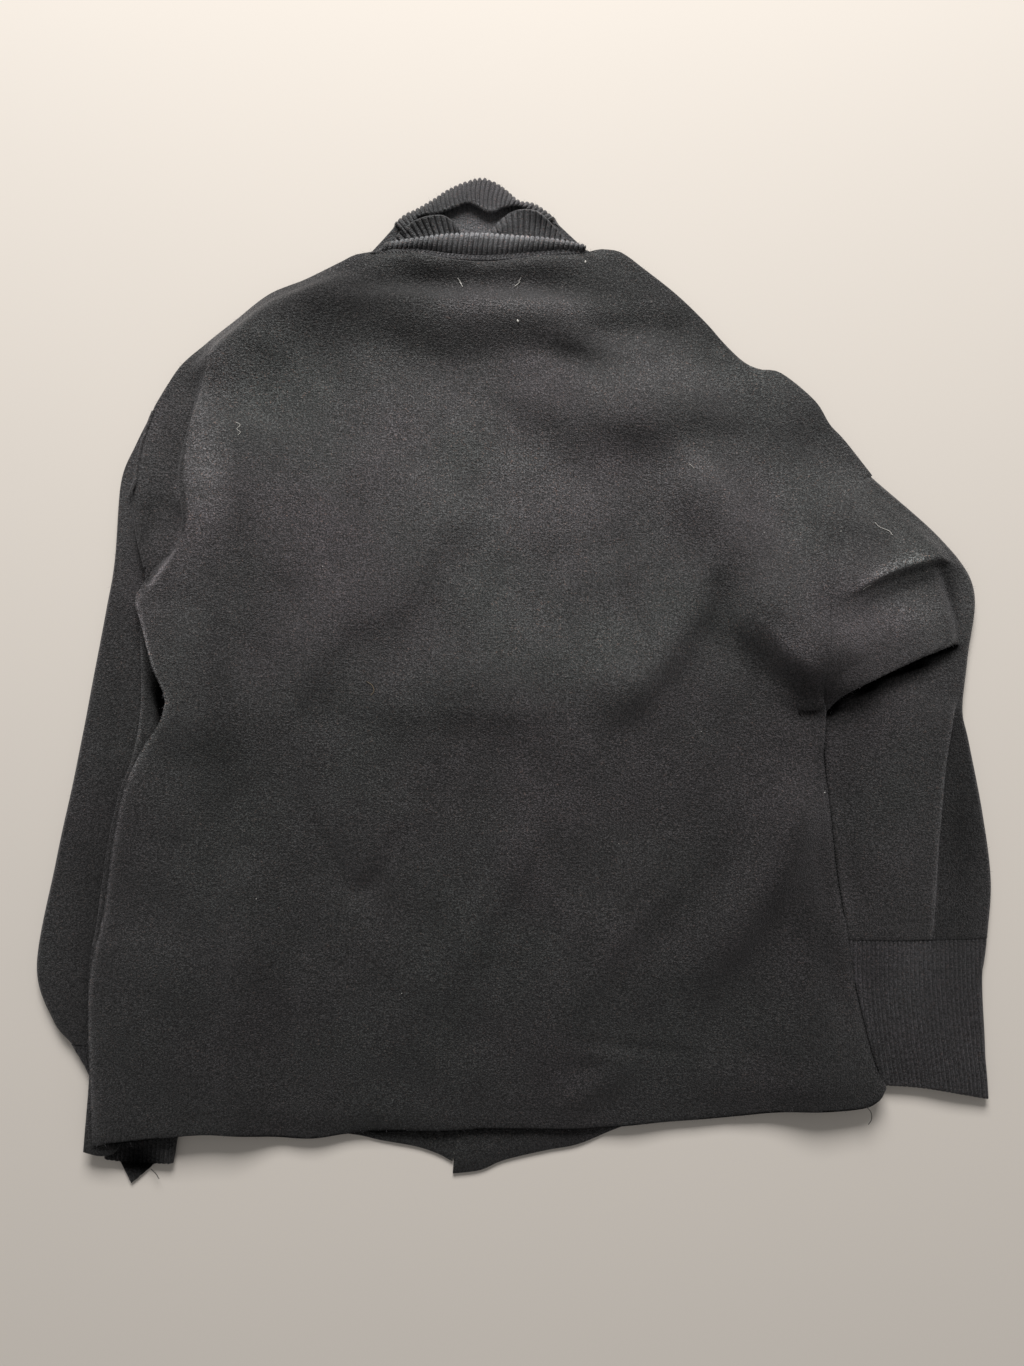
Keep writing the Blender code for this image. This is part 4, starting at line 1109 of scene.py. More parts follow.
# %% Collar layers
seam_side = offset(curve(COLLAR_ROLL, np.linspace(0.12, 0.87, 22)), NECK_ROLL_RADIUS)
collar_back = collar_layer(
    "cloth_collar_back",
    [seam_side] + [between(seam_side, COLLAR_CREST, share) for share in (0.35, 0.75)]
    + [COLLAR_CREST, [(x, y + 0.6) for x, y in COLLAR_CREST]],
    [[10, 13.5, 13.5, 13.5, 10], [12, 16, 16.5, 16, 12], [13, 17, 18, 17, 13],
     [12, 16, 17, 16, 12], [8.5, 13, 13.5, 13, 8.5]], 44, COLLAR_CREST)
collar_inner = collar_layer(
    "cloth_collar_inner",
    [LOBE_FOOT] + [between(LOBE_FOOT, LOBE_TOP, share) for share in (0.35, 0.7)] + [LOBE_TOP],
    [[6.6, 7.5, 7.5, 7.5, 6.6], [7, 9, 9, 9, 7], [7, 12, 11, 12, 7],
     [7, 10, 15, 15, 9.5, 8.5, 9.5, 15, 16, 10, 7]], 34, LOBE_FOOT)
collar_front = collar_layer(
    "cloth_collar_front",
    [COLLAR_FOOT] + [between(COLLAR_FOOT, FAR_EDGE, share) for share in (0.45, 0.8, 0.9)]
    + [FAR_EDGE] + [between(FAR_EDGE, LIP_EDGE, share) for share in (0.15, 0.55)] + [LIP_EDGE],
    [[h, h] for h in (1.3, 2.4, 4.6, 5.2, 6.8, 9.0, 10.6, 10.0)], 84, FAR_EDGE,
    ((0.0, 1.0), (0.24, 1.0), (0.33, 0.0), (1.0, 0.0)))
print("collar:", triangles(collar_back), triangles(collar_inner), triangles(collar_front), "triangles")

# %% [markdown]
# ## The neck seam
#
# Where the collar is linked to the back, the doubled edge stands up as a thick soft cord. It is an
# oval tube along the seam that widens over both shoulders, where the doubled cloth spreads out. Its
# width and height swell a little at each linked stitch, which is one slow wave along the line.

# %% Neck seam
NECK_BAND = [
    #  x      y    half width, millimetres
    (-116, 343.0, 1.0), (-109, 343.6, 2.4), (-100, 343.8, 3.6), (-90, 343.2, 4.2), (-74, 341.5, 4.0),
    (-45, 337.7, 3.6), (-16, 337.0, 3.4), (20, 340.0, 3.9), (40, 342.3, 4.2), (50, 343.2, 3.6),
    (57, 343.6, 2.4), (63, 343.4, 1.0)]
BAND_HEIGHT = 2.8                           # half of it
BAND_MIDDLE = 12.6                          # height of its middle, which sinks towards both ends
BAND_DROP = 5.0
BAND_SWELL, BAND_STITCH = 0.07, 4.0         # one small swelling for each linked stitch
BAND_ROWS = 240
BAND_RING = 20


def neck_band():
    """The standing seam: an oval section that widens towards both shoulders and closes at its ends."""
    line = curve(NECK_BAND, even(BAND_ROWS))
    share = np.abs(np.linspace(-1.0, 1.0, BAND_ROWS))
    z = BAND_MIDDLE - BAND_DROP * share ** 3
    run = run_along(line[:, :2])
    swell = 1.0 + BAND_SWELL * np.cos(2 * np.pi * run / BAND_STITCH)
    size = (np.sqrt(np.clip(1.0 - share ** 24, 0.0, 1.0)) + 0.02) * swell
    angle = np.linspace(0.0, 2 * np.pi, BAND_RING, endpoint=False)
    wide = (line[:, 2] * size)[:, None] * np.cos(angle)
    high = (BAND_HEIGHT * size)[:, None] * np.sin(angle)
    side = left_of(line)
    ring = np.dstack([line[:, :1] + side[:, :1] * wide, line[:, 1:2] + side[:, 1:] * wide, z[:, None] + high])
    ids = np.arange(BAND_ROWS * BAND_RING).reshape(BAND_ROWS, BAND_RING)
    faces = quads(ids[:-1], ids[1:]).tolist() + [ids[0][::-1].tolist(), ids[-1].tolist()]
    uv = np.dstack([np.broadcast_to(run[:, None], wide.shape), wide])
    return point_outwards(finish_mesh("cloth_neck_seam", ring.reshape(-1, 3), faces, uv.reshape(-1, 2)))


neck_seam = neck_band()
print("neck seam:", triangles(neck_seam), "triangles")

# %% [markdown]
# ## Felted wool
#
# Close up, the cloth is a fine stocking stitch that felting has almost closed: faint columns, a grain
# of tiny loops, a haze of fibres that catches light at a low angle, and here and there a brown
# fibre. The columns and loops are drawn from the UV map, the grain from noise, and the haze is the
# shader's sheen. Nothing of it is large, so the bump is shallow. Where the painted shading is darkest,
# in deep folds and recesses, a second shader of the same colour, with neither shine nor sheen, takes over:
# painted deep shade.

# %% Wool materials
WALE = 1.9 * MM                             # from one column of stitches to the next
COURSE = 1.35 * MM                          # from one row to the next
BODY_TONE = (0.0278, 0.0266, 0.0272)
RIB_TONE = (0.034, 0.032, 0.0345)
WOOL_ROUGHNESS = 0.60                       # wool fibres shine a little when light comes over them
WOOL_SHINE = 0.42
SHEEN = {"Sheen Weight": 0.22, "Sheen Roughness": 0.45, "Sheen Tint": (0.86, 0.84, 0.88, 1.0)}
COOL, WARM = (0.90, 1.01, 0.97), (1.06, 0.98, 1.04)     # the dye wanders between these two casts
BROWN = (2.3, 1.45, 1.1)                    # a stray fibre has this one
GRAIN, HAZE, BLOTCH = (640.0, 3.0, 0.7), (1050.0, 1.0), (28.0, 4.0)    # scale and detail of each pattern
DYE, FIBRE = (6.0, 2.0), (900.0, 0.0)
DEEP_SHADE_RANGE = (0.06, 0.26)                     # painted shading at which the shine is gone, for painted deep shade, and at which it is back


def stitch_height(u, v, wale, course):
    """Height of a stocking stitch, 0 to 1: columns of small V shapes."""
    half = u.from_middle(wale)
    leg = (((v / course) + half * 0.45) * (2 * math.pi)).cosine() * 0.5 + 0.5
    return (1.0 - half ** 3.0) * (0.55 + 0.45 * leg)


def cast(tone, shift):
    """A tone with each of its colours scaled."""
    return [c * s for c, s in zip(tone, shift)] + [1.0]


def wool(name, tone, rib_pitch=None, eyelets=False, stitch_share=0.35, felt=1.0, valley_shade=0.88):
    """Felted wool in one tone. A rib pitch adds painted shade in the valleys between ribs."""
    material, tree, shader, where = new_material(name)

    def marked(key):
        return node(tree, "ShaderNodeAttribute", out="Fac", attribute_name=key)

    laid = node(tree, "ShaderNodeUVMap", uv_map="knit")
    u = node(tree, "ShaderNodeSeparateXYZ", {"Vector": laid})
    v = Wire(u.socket.node.outputs["Y"])
    stitch = stitch_height(u, v, WALE, COURSE)
    # painted light and shade on each point, which scales the colour below and picks the shaded copy
    nap = marked("nap")
    loops = noise(tree, where, *GRAIN).ease(0.34, 0.66)
    fluff = noise(tree, where, *HAZE).ease(0.3, 0.7)
    depth = (1.6 - 0.6 * nap).at_most(1.35).at_least(0.9) * felt
    light = (1.0 + depth * 1.5 * (loops - 0.5)) * (1.0 + depth * 1.45 * (fluff - 0.5))
    light = light * (0.42 + 1.16 * noise(tree, where, *BLOTCH)) * nap
    light = light * (1.0 - stitch_share * 0.6 + stitch_share * 0.9 * stitch)
    if rib_pitch:
        # painted shade in the valleys between ribs
        valley = marked("across").from_middle(rib_pitch).ease(0.58, 0.94)
        light = light * (1.15 - valley_shade * valley * marked("outside"))
    if eyelets:
        near_join = 1.0 - (v + 0.0012).absolute().ease(0.0006, 0.0016)
        light = light * (1.0 - 0.75 * near_join * u.from_middle(rib_pitch).ease(0.35, 0.8))
    dyed = mix(tree, noise(tree, where, *DYE).ease(0.3, 0.7), cast(tone, COOL), cast(tone, WARM))
    fibre = noise(tree, where, *FIBRE).ease(0.66, 0.76)
    brown = mix(tree, fibre * 0.55, dyed, cast(tone, BROWN))
    grey = node(tree, "ShaderNodeCombineColor", {0: light, 1: light, 2: light}, mode="RGB")
    colour = mix(tree, 1.0, brown, grey, "MULTIPLY")
    height = stitch * (0.18 * stitch_share / 0.35) + loops * 0.5 + fluff * 0.35
    bump = node(tree, "ShaderNodeBump", {"Height": height, "Distance": 0.0010, "Strength": 0.85})
    flattened = (0.5 - nap).at_least(0.0) * 0.8
    rough = WOOL_ROUGHNESS + (1.0 - nap) * 0.20 + flattened - (loops - 0.5) * 0.30
    fill(shader, {"Base Color": colour, "Normal": bump, "Roughness": rough.at_most(1.0).at_least(0.45),
                  "Specular IOR Level": WOOL_SHINE, **SHEEN})
    # painted deep shade: where the painted shading is darkest, this copy without shine or sheen takes over
    painted_deep_shade = node(tree, "ShaderNodeBsdfPrincipled", {"Base Color": colour, "Normal": bump, "Roughness": 1.0,
                                                   "Specular IOR Level": 0.0})
    shown = node(tree, "ShaderNodeMixShader", {0: nap.ease(*DEEP_SHADE_RANGE), 1: painted_deep_shade,
                                               2: Wire(shader.outputs["BSDF"])})
    fill(tree.nodes["Material Output"], {"Surface": shown})
    return material


body_wool = wool("felted wool", BODY_TONE)
cuff_wool = wool("felted rib, cuffs", RIB_TONE, CUFF_RIB_PITCH * MM, eyelets=True, felt=0.9,
                 valley_shade=0.60)
collar_wool = wool("rib knit, collar", RIB_TONE, COLLAR_RIB_PITCH * MM, stitch_share=0.6, felt=0.45)
cord_wool = wool("linked edge", RIB_TONE, stitch_share=0.5)
print("wool:", body_wool.name, cuff_wool.name, collar_wool.name)

# %% [markdown]
# ## Painted light and shade
#
# Light and shade that the lamps don't give are painted into the cloth's brightness: painted light where
# folds face the window, painted shadow under the roll, in recesses, hollows and along edges, and painted
# highlights along crests. It is written down as soft oval patches, and as bands along crests, edges and
# seams. Each multiplies the brightness of the cloth under it by one plus its gain.

# %% Tables of painted light and shade
# Painted shadow where the gain is below zero, painted light where it is above, patch by patch
SHADING_PATCHES = [
    # x, y, half length, half width, turn, gain, and how high up the patch reaches if it ends
    # under the roll
    (318, 12, 34, 8, 22, -0.97, 15), (325, 15, 30, 6, 22, -0.90, 15), (284, -5, 26, 7, 30, -0.96, 15),
    (256, -24, 12, 5, 20, -0.6, 14),
    # under the left edge
    (-288, -6, 8, 36, 12, -0.82, 13), (-282, -14, 5, 24, 2, -0.90),
    # below the neck
    (-125, 301, 78, 21, 6, -0.75), (44, 268, 34, 11, -14, -0.70), (64, 314, 34, 13, 0, -0.60),
    (-48, 264, 34, 9, -8, -0.55),
    # right shoulder's edge
    (165, 284, 14, 34, -42, -0.45), (88, 198, 30, 14, -8, -0.60), (160, 213, 44, 16, 2, -0.45),
    (150, 246, 60, 14, -8, 0.35), (240, 205, 22, 34, -40, -0.40),
    # left shoulder
    (-179, 262, 30, 10, -40, 0.60), (-222, 238, 28, 10, -65, 0.40),
    # the fold below the neck
    (8, 297, 62, 7, 2, 1.2), (56, 287, 24, 8, -15, 0.45), (-115, 320, 75, 8, 3, -0.40),
    (-40, 272, 62, 7, -2, -0.40), (50, 263, 24, 8, -12, -0.50), (5, 257, 20, 6, 0, 0.50),
    # the fold across the right shoulder blade
    (-4, 222, 32, 9, -40, -0.38), (42, 182, 26, 9, -45, -0.25), (172, 203, 36, 8, 0, -0.45),
    (142, 180, 34, 6, -50, 0.30), (130, 284, 10, 26, -40, -0.40), (180, 100, 12, 10, 0, -0.30),
    (186, 42, 22, 9, -30, 0.65),
    # beside the left armhole
    (-297, 118, 7, 20, 0, -0.60), (-276, 205, 12, 50, -8, -0.20),
    # below the tuck
    (322, 80, 34, 6, 20, -0.74), (346, 76, 6, 20, 14, -0.72), (354, 84, 7, 13, 0, -0.40),
    # left side
    (-272, -122, 18, 15, 0, -0.40), (-282, -165, 14, 14, 0, -0.30), (-228, -58, 14, 14, 0, -0.35),
    (-229, 22, 12, 34, 0, -0.28),
    # long folds towards the hem
    (100, -172, 44, 6, 47, -0.38), (92, -192, 48, 8, 50, 0.22), (214, -150, 68, 9, 70, -0.35),
    (264, -170, 110, 7, -83, 0.40), (100, -290, 55, 4, -6, -0.38), (98, -299, 55, 5, -6, 0.25),
    (-70, -330, 40, 14, 0, 0.20),
    # left cuff
    (-304, -382, 34, 20, 0, -0.55),
    # on the pleat
    (-246, 166, 16, 46, 3, 0.50), (-216, 128, 10, 30, 0, -0.40),
    # the valley behind the pleat
    (-290, 135, 16, 50, 0, -0.45),
    # beside the right blade
    (161, 82, 15, 11, 60, -0.72), (178, 46, 18, 9, -35, 0.45),
    # painted light over the middle of the back
    (10, 160, 80, 55, 0, 0.56), (50, 35, 90, 38, 0, 0.50), (-6, 72, 36, 26, 0, 0.28),
    (-105, 200, 50, 34, 0, 0.22), (202, 150, 38, 24, -40, 0.36), (40, -205, 100, 70, 0, 0.22),
    # broad, faint patches elsewhere
    (-250, -200, 34, 40, 0, 0.20), (322, -235, 26, 90, 0, 0.42), (-40, 300, 34, 9, 0, 0.75),
    (104, 183, 22, 16, -20, -0.25), (275, 125, 30, 20, -30, -0.34), (-240, 62, 14, 40, 0, -0.26),
    (-240, -84, 20, 20, 0, -0.14), (-210, 182, 12, 40, 0, -0.16), (200, -200, 20, 40, -20, -0.28),
    (-255, -300, 50, 50, 0, -0.26), (-302, -388, 26, 16, 0, -0.70), (228, -8, 22, 9, -40, -0.30),
    (-120, 282, 40, 12, 0, -0.18), (203, 32, 20, 14, 30, 0.30), (206, 6, 34, 10, -32, -0.45),
    (228, -22, 26, 9, -20, -0.75),
    # above the tuck
    (290, 92, 40, 9, 26, 0.30),
    # on the roll
    (302, 46, 44, 16, 22, 0.62), (352, 62, 7, 44, 6, -0.45),
    # outer edge of the right sleeve
    (362, -110, 15, 100, 0, -0.55), (268, -95, 16, 70, 0, -0.25), (245, -70, 5, 48, 2, -0.35),
    # left sleeve
    (-330, -120, 30, 210, -8, -0.42), (-322, 10, 16, 60, 0, -0.35),
    # left side
    (-222, -85, 30, 18, 30, -0.45), (-160, -20, 16, 14, 0, -0.20),
    # long dark folds at the right
    (162, -150, 20, 44, -35, -0.30), (122, -185, 16, 50, -32, -0.35), (236, -195, 14, 50, 4, -0.30),
    (60, -215, 12, 40, -30, -0.20),
    # along the hem
    (-120, -357, 90, 10, -2, -0.50), (235, -333, 60, 12, 3, -0.45), (316, -310, 30, 16, 0, -0.30),
    # inside the collar, which the light reaches from above
    (-35, 362, 40, 10, 0, 0.9, 8.5),
    # the collar's far side stands in the light
    (0, 368, 90, 26, 0, 0.75), (-30, 347, 90, 8, 0, 0.55),
    # small hollows and swells between the folds
    (200, 188, 22, 18, 0, -0.26), (182, 197, 30, 9, -5, -0.20), (195, 236, 12, 24, -35, -0.18),
    (240, 192, 12, 20, -35, -0.18), (-150, 311, 50, 13, 14, -0.28), (112, 300, 50, 12, -36, -0.22),
    (-172, 268, 30, 10, -35, 0.26), (38, 262, 18, 8, -15, -0.28), (18, 215, 26, 8, -38, -0.24),
    (62, -283, 18, 6, -8, -0.32), (118, -175, 10, 26, -35, 0.24), (64, -190, 11, 22, -35, -0.22),
    (-250, -45, 22, 22, 0, -0.22), (-205, -28, 24, 12, 0, -0.18), (-256, 30, 14, 30, 0, -0.14),
]
PLEAT_BRIM = [(x - overhang, y) for x, y, _, overhang in PLEAT[3:]]
LEFT_CREASE = [(-178, -68), (-154, -116), (-133, -158), (-126, -165), (-116, -155), (-88, -130), (-50, -112)]
CORNER_CREASE = [(226, -27), (238, -25), (250, -20)]
HEM_CREASE = [(246, -188), (249, -222), (257, -258)]
NECK_LINE = [(-109, 340), (-95, 336.5), (-46, 334), (-23, 331.5), (4, 332.5), (30, 336.5), (54, 340),
             (70, 339), (90, 338)]
TUCK_CREST = [(258, 66), (278, 77), (298, 87), (318, 93), (338, 96), (354, 92)]
BLADE_RIDGE = [(170, 53), (200, 36), (225, 14), (245, -6)]
SIDE_FOLD = [(261, -125), (268, -200), (280, -260), (296, -315)]
SLEEVE_OUTER = [(274, 158), (284, 150), (308, 130), (331, 108), (348, 86)]
# The same along lines: painted highlights and painted shade on either side of a crest, an edge or a seam
SHADING_BANDS = [
    # line, gain and reach on its left, gain and reach on its right, height, share over which it fades
    (PLEAT, 0.40, 24, -0.55, 16, 99, 0.06),
    (PLEAT_BRIM, 3.0, 2.4, 1.6, 2.0, 99, 0.06),
    (LEFT_EDGE, 2.4, 2.4, -0.5, 6, 99, 0.06),
    (LEFT_EDGE, 0.45, 11, 0.0, 1, 99, 0.06),
    (TUCK_CREST, 3.8, 6.0, 2.0, 1.8, 99, 0.40),
    (BLADE_RIDGE, 0.5, 7.0, 0.5, 4.0, 99, 0.25),
    (SIDE_FOLD, 0.35, 7.0, 0.35, 6.0, 99, 0.20),
    (SLEEVE_OUTER, -0.42, 14, -0.42, 8, 99, 0.15),
    (NECK_LINE, 0.45, 5.0, -0.55, 2.2, 99, 0.10),
    (LEFT_CREASE, 0.22, 9, -0.38, 4.0, 99, 0.25),
    (CORNER_CREASE, -0.8, 3.0, -0.6, 3.0, 99, 0.06),
    (HEM_CREASE, -0.4, 4, -0.35, 4, 99, 0.06),
    (ROLL, 0.5, 3.0, -0.92, 8, 15, 0.06),
    (LONG_STEP, 2.0, 2.5, -0.5, 30, 99, 0.06),
    (RIGHT_EDGE, -0.95, 3.0, -0.25, 1.2, 99, 0.06),
    (FRONT_LEFT_EDGE, 2.4, 2.0, -0.3, 3, 13, 0.06),
    (COLLAR_CREST, 2.6, 3.0, 1.6, 2.6, 99, 0.06),
    (LIP_EDGE, 0.6, 3, 0.0, 1, 99, 0.06),
    (BACK_HEM, -0.5, 2.5, -0.75, 4, 99, 0.02),
]
# Painted light down the garment: the cloth is drawn lighter towards the neck, nearer the window: y, gain
PAINTED_LIGHT_ALONG = [(-400, 0.46), (-300, 0.55), (-200, 0.66), (-60, 0.82), (-10, 0.94), (40, 1.35), (100, 1.45),
             (150, 1.75), (245, 1.70), (290, 1.12), (400, 1.15)]

print(len(SHADING_PATCHES), "patches and", len(SHADING_BANDS), "bands of nap")

# %% Painting light and shade onto the cloth
def paint_shading(thing):
    """Mark each point with its painted light and shade: how much brighter or darker the cloth is drawn there.
    """
    x, y, z = read(thing).T / MM
    nap = np.interp(y, *np.transpose(PAINTED_LIGHT_ALONG))
    for px, py, length, width, turn, gain, *ceiling in SHADING_PATCHES:
        c, s = math.cos(math.radians(turn)), math.sin(math.radians(turn))
        along = ((x - px) * c + (y - py) * s) / length
        across = ((y - py) * c - (x - px) * s) / width
        nap *= 1.0 + gain * np.exp(-along ** 2 - across ** 2) * (z < min(ceiling, default=np.inf))
    for line, left_gain, left_reach, right_gain, right_reach, height, fade in SHADING_BANDS:
        away, along = beside(x, y, line, 50)
        ends = smooth(along / fade) * smooth((1.0 - along) / fade)
        gain = np.where(away > 0.0, left_gain, right_gain)
        reach = np.where(away > 0.0, left_reach, right_reach)
        nap *= 1.0 + gain * ends * np.exp(-(away / reach) ** 2) * (z < height)
    mark(thing, "nap", nap)


print("the nap at the neck is", round(float(np.interp(340, *np.transpose(PAINTED_LIGHT_ALONG))), 2))

# %% Ribs and wool onto the pieces
panels = [back, front_left, front_right, sleeve_left, sleeve_right]
cuffs = [cuff_left, cuff_right]
collar = [collar_back, collar_inner, collar_front]
for piece in panels + cuffs + collar + [neck_seam]:
    paint_shading(piece)
for piece in panels:
    piece.data.materials.append(body_wool)
for piece in cuffs:
    grow(piece, ribs, Pitch=CUFF_RIB_PITCH, Height=CUFF_RIB_HEIGHT, Wander=0.4, Material=cuff_wool)
for piece in collar:
    grow(piece, ribs, Pitch=COLLAR_RIB_PITCH, Height=COLLAR_RIB_HEIGHT, Wander=0.8, Material=collar_wool)
neck_seam.data.materials.append(cord_wool)
print("ribs on", len(cuffs + collar), "pieces")

# %% [markdown]
# ## Seams, loose stitches and lint
#
# Knitted panels are linked stitch by stitch, so a seam shows as a row of small slanted loops, a few
# tacks are left where a label was sewn inside, and a knit always carries some lint. Each is a line
# dropped onto the cloth below it, and a node tree repeats one small rounded stitch along the line, or
# sweeps a fine thread along it. The trees take their sizes as inputs, so one tree serves every seam.

# %% Lines that lie on the cloth
def line_object(name, points):
    """A mesh that is only a line of points, in metres from millimetres."""
    mesh = bpy.data.meshes.new(name)
    edges = [(k, k + 1) for k in range(len(points) - 1)]
    mesh.from_pydata((np.asarray(points, dtype=float) * MM).tolist(), edges, [])
    return add_object(name, mesh)


def cloth_below(things):
    """A search tree over pieces of cloth, for finding their top."""
    points, faces = [], []
    for thing in things:
        start = len(points)
        points += [v.co.copy() for v in thing.data.vertices]
        faces += [[start + k for k in p.vertices] for p in thing.data.polygons]
    return BVHTree.FromPolygons(points, faces)


def drop(points, cloth, lift):
    """Plan points in millimetres, each raised to just above the cloth under it."""
    laid = []
    height = 5.0
    for x, y in points:
        hit = cloth.ray_cast(Vector((x * MM, y * MM, 0.2)), Vector((0.0, 0.0, -1.0)))
        height = hit[0].z / MM if hit[0] is not None else height
        laid.append((x, y, height + lift))
    return laid


def seam_line(line, first, last, cloth, sideways=0.0, count=60, lift=0.1):
    """Part of a plan line, moved sideways and dropped onto the cloth."""
    plan = curve([point[:2] for point in line], np.linspace(first, last, count))
    return line_object("line", drop(offset(plan, sideways), cloth, lift))


def lay(path, tree, name, **sizes):
    """Run a tree along a line object, and throw the line away."""
    made = grow(path, tree, name, **sizes)
    bpy.data.objects.remove(path)
    return made


def thread_material(name, colour, roughness=0.8):
    """Plain spun thread, a little uneven in tone."""
    material, tree, shader, where = new_material(name)
    dark = [c * 0.6 for c in colour] + [1.0]
    uneven = noise(tree, where, 900.0, 1.0).ease(0.3, 0.7)
    fill(shader, {"Base Color": mix(tree, uneven, dark, list(colour) + [1.0]), "Roughness": roughness})
    return material


garment_cloth = cloth_below([back, sleeve_right, sleeve_left, front_left, front_right])
print("cloth to lay threads on is ready")

# %% Node trees for stitches, threads and fuzz
def uneven_length(tree, sizes, low, high):
    """A length that differs from one repeat to the next."""
    draw = node(tree, "FunctionNodeRandomValue", {"Min_001": low, "Max_001": high, "Seed": sizes["Seed"]},
                "Value_001", data_type="FLOAT")
    return draw * sizes["Length"]


def repeat(tree, sizes, points, shape, axis, ahead, aside, size):
    """One shape at each point, turned to a direction that is the sum of two, and sized."""
    heading = node(tree, "ShaderNodeVectorMath", {0: ahead, 1: aside}, operation="ADD")
    turn = node(tree, "FunctionNodeAlignRotationToVector", {"Vector": heading}, axis=axis)
    scale = node(tree, "ShaderNodeCombineXYZ", dict(enumerate(size)))
    made = node(tree, "GeometryNodeInstanceOnPoints",
                {"Points": points, "Instance": shape, "Rotation": turn, "Scale": scale})
    return end_tree(tree, made, sizes)


def stitch_tree():
    """One rounded stitch repeated along a line, slanted and a little uneven."""
    tree, sizes = new_tree("stitches", "Pitch", "Length", "Thickness", "Slant", "Seed")
    path = node(tree, "GeometryNodeMeshToCurve", {"Mesh": sizes["Geometry"]})
    spots = node(tree, "GeometryNodeResampleCurve", {"Curve": path, "Length": sizes["Pitch"]}, mode="LENGTH")
    tangent = node(tree, "GeometryNodeInputTangent")
    sideways = node(tree, "ShaderNodeVectorMath", {0: (0.0, 0.0, 1.0), 1: tangent}, operation="CROSS_PRODUCT")
    loop = node(tree, "GeometryNodeMeshUVSphere", {"Segments": 6, "Rings": 4, "Radius": 0.5})
    return repeat(tree, sizes, spots, loop, "X", tangent, scaled(tree, sideways, sizes["Slant"]),
                  (uneven_length(tree, sizes, 0.75, 1.2), sizes["Thickness"], sizes["Thickness"]))


def thread_tree():
    """A fine thread swept along a line."""
    tree, sizes = new_tree("thread", "Thickness")
    path = node(tree, "GeometryNodeMeshToCurve", {"Mesh": sizes["Geometry"]})
    ring = node(tree, "GeometryNodeCurvePrimitiveCircle", {"Resolution": 5, "Radius": 0.5})
    swept = node(tree, "GeometryNodeCurveToMesh", {"Curve": path, "Profile Curve": ring, "Fill Caps": True,
                                                   "Scale": sizes["Thickness"]})
    return end_tree(tree, swept, sizes)


def fuzz_tree():
    """Short tapered fibres standing up from the cloth, most where 'fuzz' is marked."""
    tree, sizes = new_tree("fuzz", "Density", "Length", "Thickness", "Lean", "Seed")
    roots = node(tree, "GeometryNodeDistributePointsOnFaces",
                 {"Mesh": sizes["Geometry"], "Density": sizes["Density"] * named(tree, "fuzz"),
                  "Seed": sizes["Seed"]}, distribute_method="RANDOM")
    lean = node(tree, "FunctionNodeRandomValue", {"Min": (-1.0, -1.0, -0.2), "Max": (1.0, 1.0, 0.6),
                                                  "Seed": sizes["Seed"]}, "Value", data_type="FLOAT_VECTOR")
    fibre = node(tree, "GeometryNodeMeshCone",
                 {"Vertices": 3, "Side Segments": 1, "Fill Segments": 1, "Radius Top": 0.0,
                  "Radius Bottom": 0.5, "Depth": 1.0}, "Mesh")
    return repeat(tree, sizes, roots, fibre, "Z", Wire(roots.socket.node.outputs["Normal"]),
                  scaled(tree, lean, sizes["Lean"]),
                  (sizes["Thickness"], sizes["Thickness"], uneven_length(tree, sizes, 0.4, 1.4)))


stitches, thread, fuzz = stitch_tree(), thread_tree(), fuzz_tree()
print("trees:", stitches.name, thread.name, fuzz.name)

# %% Seam stitches
dark_thread = thread_material("linking thread", (0.018, 0.017, 0.018))
rib_thread = thread_material("neck linking thread", (0.060, 0.058, 0.062))
pale_thread = thread_material("pale thread", (0.14, 0.135, 0.125))
LINKS = [
    # name, line, first and last share, sideways, pitch, length, thickness, slant, thread
    ("thread_armhole_right", RIGHT_ARMHOLE, 0.16, 0.97, 0.2, 2.6, 1.9, 0.55, 0.5, dark_thread),
    ("thread_armhole_left", LEFT_ARMHOLE, 0.05, 0.95, 0.2, 2.6, 1.9, 0.6, 0.5, dark_thread),
    ("thread_side_right", RIGHT_EDGE, 0.03, 0.97, 0.4, 2.6, 2.2, 0.7, 0.3, dark_thread),
    ("thread_centre", CENTRE_SEAM, 0.968, 0.998, 0.0, 4.2, 2.2, 0.5, 1.6, pale_thread),
]
seam_threads = []
for name, line, first, last, sideways, pitch, length, thickness, slant, material in LINKS:
    path = seam_line(line, first, last, garment_cloth, sideways)
    seam_threads.append(lay(path, stitches, name, Pitch=pitch, Length=length, Thickness=thickness,
                            Slant=slant, Seed=3, Material=material))


def even_out(line, passes=6):
    """Smooth a line's height, so that it bridges small gaps."""
    places = read(line)
    z = places[:, 2]
    for _ in range(passes):
        z[1:-1] = np.maximum(z[1:-1], (z[:-2] + z[2:]) / 2)
    line.data.vertices.foreach_set("co", places.ravel())
    return line


welt = lay(even_out(seam_line(LEFT_ARMHOLE, 0.03, 0.93, garment_cloth, 0.4, 60, -0.5)), thread,
           "thread_welt_left", Thickness=3.4, Material=body_wool)
paint_shading(welt)
seam_threads.append(welt)
neck_cloth = cloth_below([neck_seam, back])
for name, sideways, slant in (("thread_neck_upper", 1.3, 0.9), ("thread_neck_lower", -1.3, -0.9)):
    path = seam_line(NECK_BAND, 0.06, 0.94, neck_cloth, sideways, 160, 0.0)
    seam_threads.append(lay(path, stitches, name, Pitch=2.9, Length=3.4, Thickness=1.1, Slant=slant,
                            Seed=5, Material=rib_thread))
for piece in seam_threads:
    print(piece.name, triangles(piece), "triangles")

